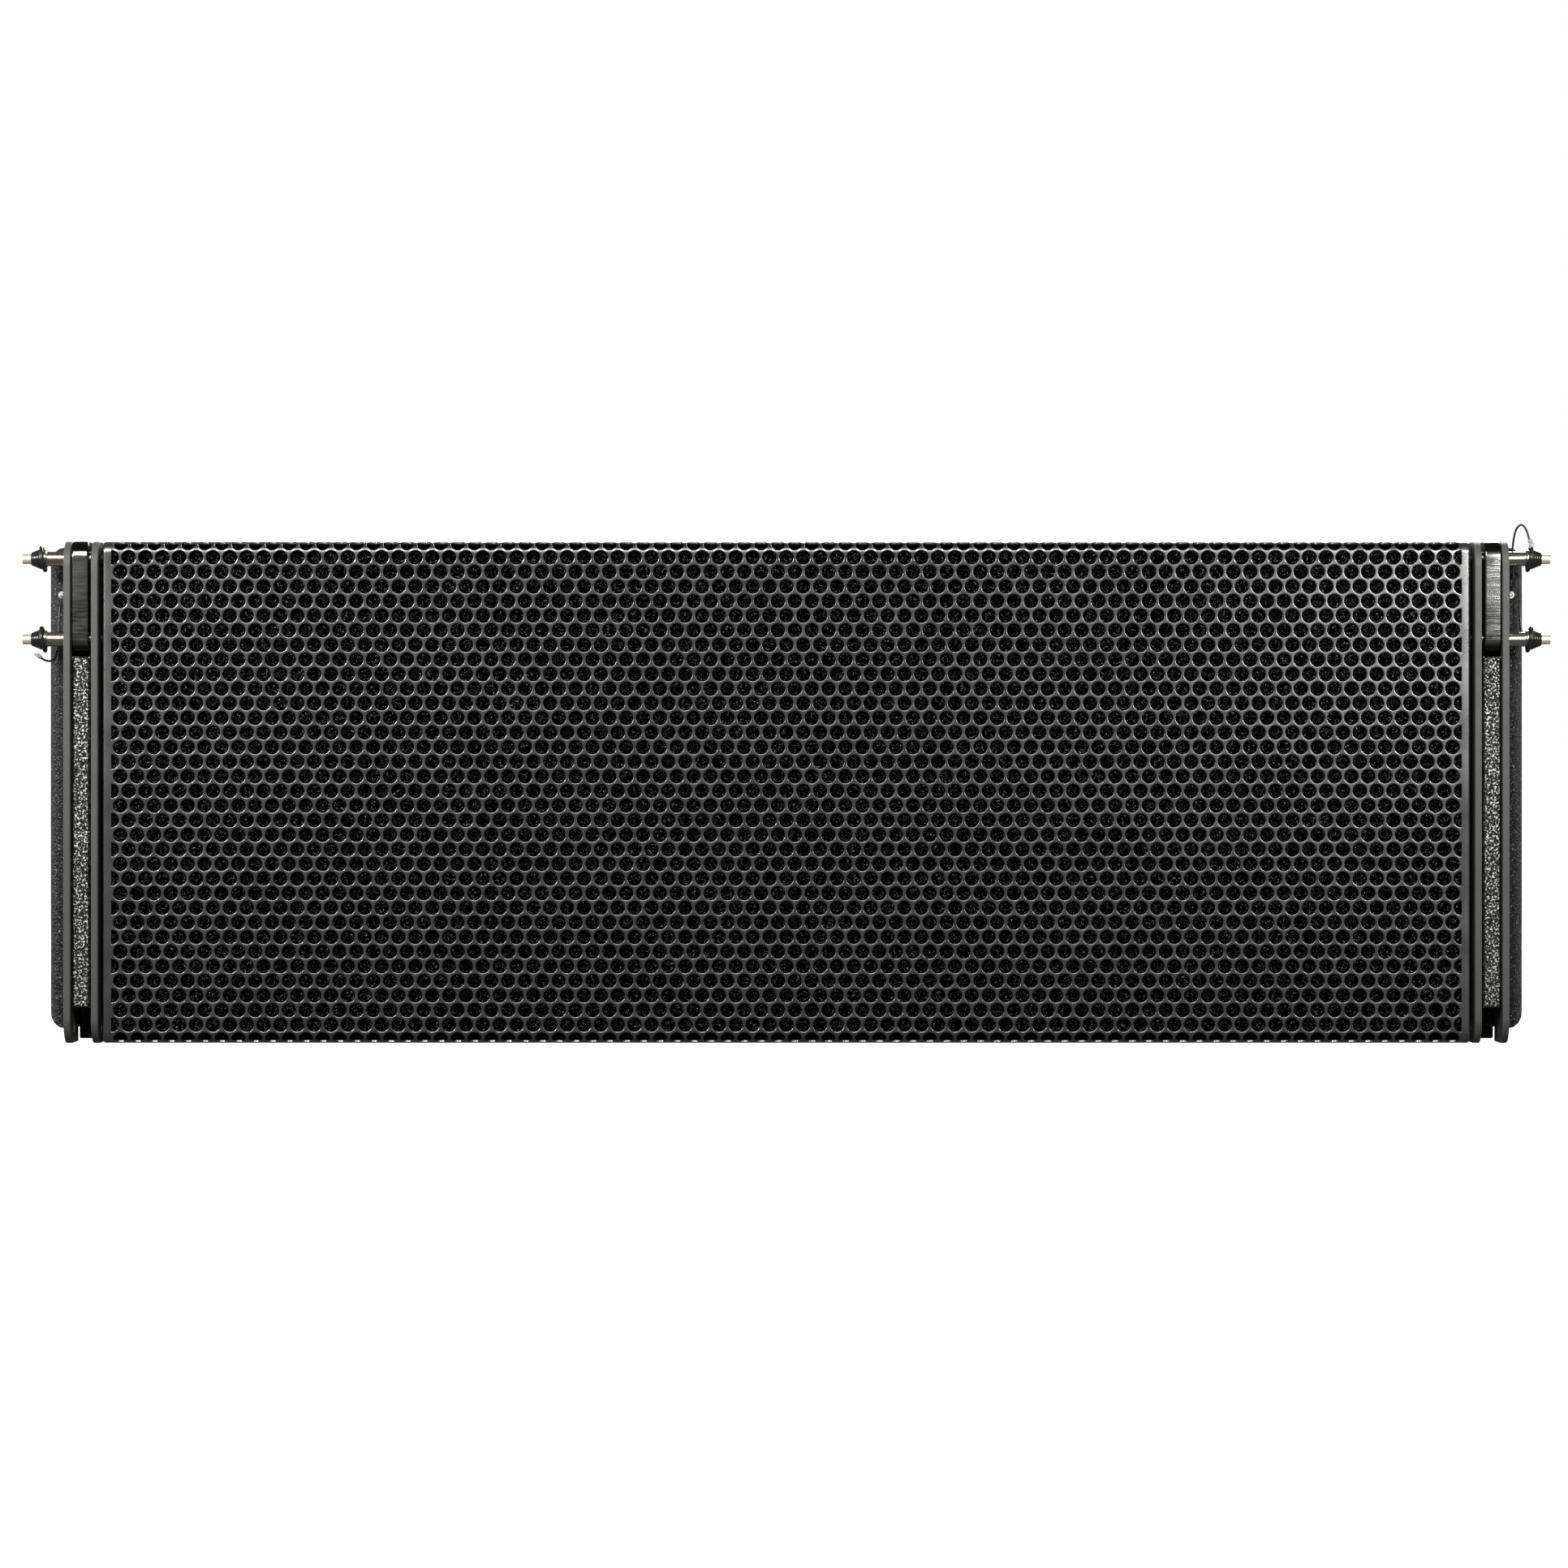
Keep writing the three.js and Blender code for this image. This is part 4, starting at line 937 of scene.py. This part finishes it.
def link_outline():
    """The bar's side view: round corners, a slot for the upper pin, an open foot on the lower."""
    front, back = [(corner[1] - FRONT_Y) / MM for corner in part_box("front_link_left")]
    foot, head = [corner[2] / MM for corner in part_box("front_link_left")]
    radius = LINK_CORNER
    lip = 2.0  # rounding of the open foot's two tips
    outer = (arc(back - radius, head - radius, radius, 0, 90, 12)
             + arc(front + radius, head - radius, radius, 90, 180, 12)
             + arc(front + radius, foot + radius, radius, 180, 270, 12)
             + arc(PIN_DEPTH - PIN_HOLE - lip, foot + lip, lip, -90, 0, 5)
             + arc(PIN_DEPTH, LOWER_PIN_Z, PIN_HOLE, 180, 0, 16)
             + arc(PIN_DEPTH + PIN_HOLE + lip, foot + lip, lip, 180, 270, 5)
             + arc(back - radius, foot + radius, radius, -90, 0, 12))
    return [outer, slot_shape(PIN_DEPTH, UPPER_PIN_Z - LINK_TRAVEL, UPPER_PIN_Z, PIN_HOLE)]


def drawn_piece(name, node, outlines, bevel, material, body, slot):
    """A plate drawn anew from its outlines, as thick as its CAD node, which it stands for."""
    low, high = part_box(node)
    piece = flat_outline(name, outlines, low[0] / MM, high[0] / MM, bevel, material)
    settle(piece, body, slot, node)


def make_front_rigging(materials):
    for name in SIDES:
        for kind in ("inner", "outer"):
            node = f"front_{kind}_plate_{name}"
            drawn_piece(f"{node}_coated", node, corner_plate_outline(), 0.7,
                        materials["plate"], "root", "rigging_plate")
        node = f"front_link_{name}"
        drawn_piece(f"{node}_bar", node, link_outline(), 1.4, materials["bar"], node, "bar_steel")


# ------------------------------------------------------------------ quick-release pins

SHANK_RADIUS = 5.0
TIP_LENGTH = 9.0  # the end, in a black finish, that holds the locking balls
SHOULDER_GAP = 0.3  # between the pin's shoulder and the plate
NECK_RADIUS = 3.9  # of the bore that the button runs in
RING_PLACE = 17.0  # from the shoulder to the middle of the ring
RING_TURNS, RING_SIDES = 48, 12
RING_MAJOR, RING_MINOR = 8.1, 1.4
RING_LEAN = math.radians(8)
BUTTON_SEAT = 18.3  # from the shoulder to the bottom of the button's bore
BUTTON_TRAVEL = 3.0
BUTTON_TIP = 31.9  # from the shoulder to the tip of the button
# (radius, distance from the shoulder) in mm.
BARREL = ((5.35, 0), (5.5, 0.4), (5.2, 1.2), (5.15, 13.4), (5.5, 14.2), (6.4, 14.7), (6.4, 15.4),
          (0, 15.4))
COLLAR = ((NECK_RADIUS, 15.4), (6.3, 15.4), (6.5, 16.0), (6.2, 17.6), (NECK_RADIUS, 17.6),
          (NECK_RADIUS, 15.4))
CONE = ((NECK_RADIUS, 17.6), (6.6, 17.7), (7.3, 18.2), (7.35, 18.9), (6.9, 19.8), (6.5, 20.0),
        (6.6, 20.5), (6.3, 21.4), (5.8, 21.7), (5.9, 22.1), (5.6, 23.1), (5.1, 23.4), (5.2, 23.8),
        (4.9, 24.8), (4.4, 25.4), (NECK_RADIUS, 25.5), (NECK_RADIUS, 17.6))


def make_pin(level, side_name, materials):
    """Black tip, steel shank and barrel, collar, ring, ribbed black cone and bright button."""
    side = SIDES[side_name]
    node = f"{level}_pin_{side_name}"
    button_node = f"{level}_button_{side_name}"
    low, high = corners_of(node)
    axis_y, axis_z = (low.y + high.y) / 2, (low.z + high.z) / 2
    tip = low.x if side > 0 else high.x
    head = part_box("front_outer_plate_right")[1][0] / MM + SHOULDER_GAP
    shank = head - abs(tip) / MM
    start = Vector((tip, axis_y, axis_z))
    out = Vector((side, 0, 0))
    barrel, collar, cone = [[(radius, shank + along) for radius, along in profile]
                            for profile in (BARREL, COLLAR, CONE)]
    steel = turned(f"{node}_steel", [
        (SHANK_RADIUS, TIP_LENGTH), (SHANK_RADIUS, shank), *barrel, (0, TIP_LENGTH),
        (SHANK_RADIUS, TIP_LENGTH)], start, out, materials["pin"], 48)
    settle(steel, node, "pin_steel", node)
    tip_end = turned(f"{node}_tip", [
        (0, 0), (3.0, 0), (3.6, 0.15), (4.7, 0.9), (SHANK_RADIUS, 1.6),
        (SHANK_RADIUS, TIP_LENGTH), (0, TIP_LENGTH)], start, out, materials["screw"], 40)
    cone = turned(f"{node}_cone", cone, start, out, materials["gloss"], 48)
    collar = turned(f"{node}_collar", collar, start, out, materials["pin"], 40)
    ring_centre = start + out * (shank + RING_PLACE) * MM
    ring = make_ring(f"{node}_ring", ring_centre, side, materials["gloss"])
    for piece, slot in ((tip_end, "pin_steel"), (cone, "black_plastic"), (collar, "pin_steel"),
                        (ring, "black_plastic")):
        settle(piece, node, slot)
    make_button(button_node, start, out, shank, materials)


def make_ring(name, centre, side, material):
    """The thick ring around the pin's neck, tilted a little."""
    vertices = []
    for i in range(RING_TURNS):
        around = 2 * math.pi * i / RING_TURNS
        for k in range(RING_SIDES):
            turn = 2 * math.pi * k / RING_SIDES
            radius = RING_MAJOR + RING_MINOR * math.cos(turn)
            out = RING_MINOR * math.sin(turn) + radius * math.cos(around) * math.sin(RING_LEAN)
            vertices.append(centre + Vector((
                side * out, radius * math.sin(around), radius * math.cos(around))) * MM)
    faces = [[corner % len(vertices) for corner in face]
             for face in band_faces(0, RING_TURNS + 1, RING_SIDES)]
    return mesh_from(name, vertices, faces, material)


def make_button(node, start, out, shank, materials):
    """The bright push button, with room under it for its travel."""
    base = shank + BUTTON_SEAT + BUTTON_TRAVEL
    tip = shank + BUTTON_TIP
    button = turned(f"{node}_cap", [
        (0, base), (3.55, base), (3.55, tip - 1.0), (3.45, tip - 0.4), (3.1, tip - 0.1),
        (2.4, tip), (0, tip - 0.15)], start, out, materials["button"], 40)
    settle(button, node, "button_metal", node)


def make_pins(materials):
    for level in ("upper", "lower", "rear"):
        for side_name in SIDES:
            make_pin(level, side_name, materials)


def make_anchors(materials):
    """The screws beside the outer plates that hold the lanyards."""
    for name in SIDES:
        node = f"lanyard_anchor_{name}"
        screw = turned(f"{node}_screw", [
            (0, 0), (2.6, 0), (2.6, 0.5), (2.3, 0.8), (1.9, 0.8), (1.8, 1.6), (1.3, 2.2),
            (0.6, 2.45), (0.5, 1.6), (0, 1.6)], rear_middle(node), (0, -1, 0),
            materials["zinc"], 32)
        settle(screw, "root", "bar_steel", node)


def make_screws(name, places, direction, radius, material, slot="rigging_plate"):
    """Low domed screw heads with a round socket, all facing one way, as one piece."""
    profile = [(0, 0), (1, 0), (1, 0.22), (0.86, 0.46), (0.62, 0.58), (0.46, 0.6), (0.42, 0.25),
               (0, 0.25)]
    scaled = [(radius * across, radius * along) for across, along in profile]
    heads = [turned(f"{name}_{i}", scaled, place, direction, material, 28)
             for i, place in enumerate(places)]
    piece = merged(name, heads, material)
    settle(piece, "root", slot)


# ------------------------------------------------------------------ rear rigging and handles

ARM_DEPTH = (409.0, 449.0)
ARM_Z = (112.0, 316.0)
ARM_CORNER = 12.0
ARM_TRAVEL = 126.0
ARM_SLOT = (418.0, 250.0)  # depth of the slot, and height of its upper end
ARM_EYE = (429.0, 302.0)
ARM_HOLES = 6  # for the splay angles
ARM_HOLES_DEPTH = 436.0
ARM_LOWEST_HOLE_Z = 174.0
ARM_HOLE_STEP = 14.2


def arm_outline():
    """The splay arm's side view, with its slot, its eye and a row of holes."""
    slot_depth, slot_top = ARM_SLOT
    holes = [slot_shape(slot_depth, slot_top - ARM_TRAVEL, slot_top, PIN_HOLE),
             circle(*ARM_EYE, PIN_HOLE)]
    for i in range(ARM_HOLES):
        holes.append(circle(ARM_HOLES_DEPTH, ARM_LOWEST_HOLE_Z + ARM_HOLE_STEP * i, PIN_HOLE))
    return [rounded_box(ARM_DEPTH[0], ARM_Z[0], ARM_DEPTH[1], ARM_Z[1], ARM_CORNER), *holes]


def make_rear_rigging(materials):
    for name in SIDES:
        node = f"rear_arm_{name}"
        drawn_piece(f"{node}_bar", node, arm_outline(), 0.9, materials["bar"], node, "bar_steel")
        refined(f"rear_bracket_{name}", materials["plate"], 0.6)


# (depth, height) of each screw head in the side panels.
HANDLE_SCREWS = ((195, 182), (355, 182), (235, 127), (315, 127), (235, 237), (315, 237))
PANEL_SCREWS = ((130, 40), (130, 180), (130, 315), (384, 84), (384, 284))
HANDLE_SCREW_RADIUS, PANEL_SCREW_RADIUS = 3.2, 5.0
SCREW_SINK = 0.2  # how far the heads sit in the soft coat
GRIP_RIB = 7.0  # spacing of the shallow grooves around the grip


def make_handles(materials):
    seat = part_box("side_panel_right")[1][0] / MM - SCREW_SINK
    for name, side in SIDES.items():
        refined(f"handle_cup_{name}", materials["plastic"], 0.8)
        make_grip(f"handle_grip_{name}", materials)
        for kind, screws, radius in (("handle", HANDLE_SCREWS, HANDLE_SCREW_RADIUS),
                                     ("panel", PANEL_SCREWS, PANEL_SCREW_RADIUS)):
            places = [at(side * seat, depth, z) for depth, z in screws]
            make_screws(f"{kind}_screws_{name}", places, (side, 0, 0), radius, materials["screw"])


def make_grip(node, materials):
    """A round rubber grip with shallow grooves around it and a slight swell in the middle."""
    low, high = corners_of(node)
    radius, length = (high.x - low.x) / 2 / MM, (high.y - low.y) / MM
    profile = [(0, 0), (radius - 1.2, 0), (radius - 0.4, 0.8)]
    steps = round(length / GRIP_RIB)
    for i in range(1, steps):
        place = length * i / steps
        swell = radius - 0.9 + 0.85 * math.sin(math.pi * i / steps)
        profile += [(swell, place - 1.0), (swell - 0.6, place - 0.4), (swell - 0.6, place + 0.4),
                    (swell, place + 1.0)]
    profile += [(radius - 0.4, length - 0.8), (radius - 1.2, length), (0, length)]
    start = Vector(((low.x + high.x) / 2, low.y, (low.z + high.z) / 2))
    grip = turned(f"{node}_rubber", profile, start, (0, 1, 0), materials["rubber"], 48)
    settle(grip, "root", "black_rubber", node)


# ------------------------------------------------------------------ connector plate

PLATE_SCREW_RADIUS = 3.2
PLATE_SCREW_INSET = 7.0  # from the plate's edges
SOCKET_SCREW = 17.5  # across and up from the socket's axis
SOCKET_SCREW_RADIUS = 2.4
CONTACT_RADIUS = 11.0  # from the socket's axis to its contacts
CONTACTS = 4


def make_connectors(materials):
    """The plate with its screws and two sockets, and the crossover board behind it."""
    refined("connector_plate", materials["plate"], 0.4)
    refined("crossover_board", materials["board"], 0.2)
    low, high = corners_of("connector_plate")
    middle = (low + high) / 2
    reach_x = (high.x - low.x) / 2 - PLATE_SCREW_INSET * MM
    reach_z = (high.z - low.z) / 2 - PLATE_SCREW_INSET * MM
    places = [Vector((middle.x + u * reach_x, high.y, middle.z + v * reach_z))
              for u in (-1, 0, 1) for v in (-1, 0, 1) if (u, v) != (0, 0)]
    make_screws("connector_plate_screws", places, (0, 1, 0), PLATE_SCREW_RADIUS,
                materials["zinc"], "bar_steel")
    for kind in ("input", "link"):
        make_socket(f"socket_{kind}", materials)


def make_socket(node, materials):
    """A locking loudspeaker socket: square flange, raised ring, keyed core and contacts."""
    refined(node, materials["plastic"], 0.5)
    face, rear = rear_middle(node), (0, 1, 0)
    ring = turned(f"{node}_ring", [
        (13.4, -0.1), (17.2, -0.1), (17.2, 1.3), (16.5, 2.1), (14.3, 2.1), (13.6, 1.4),
        (13.4, -0.1)], face, rear, materials["gloss"], 48)
    core = turned(f"{node}_core", [
        (0, -28.9), (8.6, -28.9), (8.6, -8.0), (8.0, -7.2), (6.5, -7.2), (6.2, -9.5), (0, -9.5)],
        face, rear, materials["gloss"], 40)
    contacts = []
    for i in range(CONTACTS):
        turn = math.radians(45 + 90 * i)
        spoke = Vector((math.cos(turn), 0, math.sin(turn))) * CONTACT_RADIUS * MM
        contacts.append(turned(f"{node}_contact_{i}", [
            (0, -28.9), (1.2, -28.9), (1.2, -13.5), (0.8, -13.0), (0, -13.0)],
            face + spoke, rear, materials["zinc"], 16))
    strip = merged(f"{node}_contacts", contacts, materials["zinc"])
    for piece, slot in ((ring, "black_plastic"), (core, "black_plastic"), (strip, "bar_steel")):
        settle(piece, "root", slot)
    corners = [face + Vector((u, 0, v)) * SOCKET_SCREW * MM for u in (-1, 1) for v in (-1, 1)]
    make_screws(f"{node}_screws", corners, rear, SOCKET_SCREW_RADIUS, materials["zinc"],
                "bar_steel")


def dress_inner_nodes(materials):
    """The drivers and the waveguide keep their CAD solids, in better materials."""
    finishes = {"waveguide": "plastic", "hf_driver_lower": "cast", "hf_driver_upper": "cast"}
    for name in SIDES:
        finishes[f"woofer_basket_{name}"] = "cast"
        finishes[f"woofer_magnet_{name}"] = "cast"
        finishes[f"woofer_cone_{name}"] = "cone"
        finishes[f"woofer_surround_{name}"] = "rubber"
    for node, finish in finishes.items():
        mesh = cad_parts[node].data
        for i in range(len(mesh.materials)):
            mesh.materials[i] = materials[finish]


# ------------------------------------------------------------------ everything together

bpy.context.scene.view_settings.view_transform = "Standard"
make_camera()
made = make_materials()
for level, side_name in LANYARD_ROUTES:
    make_lanyard(level, side_name, made)
make_world()
make_floor()
make_lights()
make_grille(made)
make_foam(made)
make_cabinet(made)
make_front_rigging(made)
make_pins(made)
make_anchors(made)
make_rear_rigging(made)
make_handles(made)
make_connectors(made)
dress_inner_nodes(made)
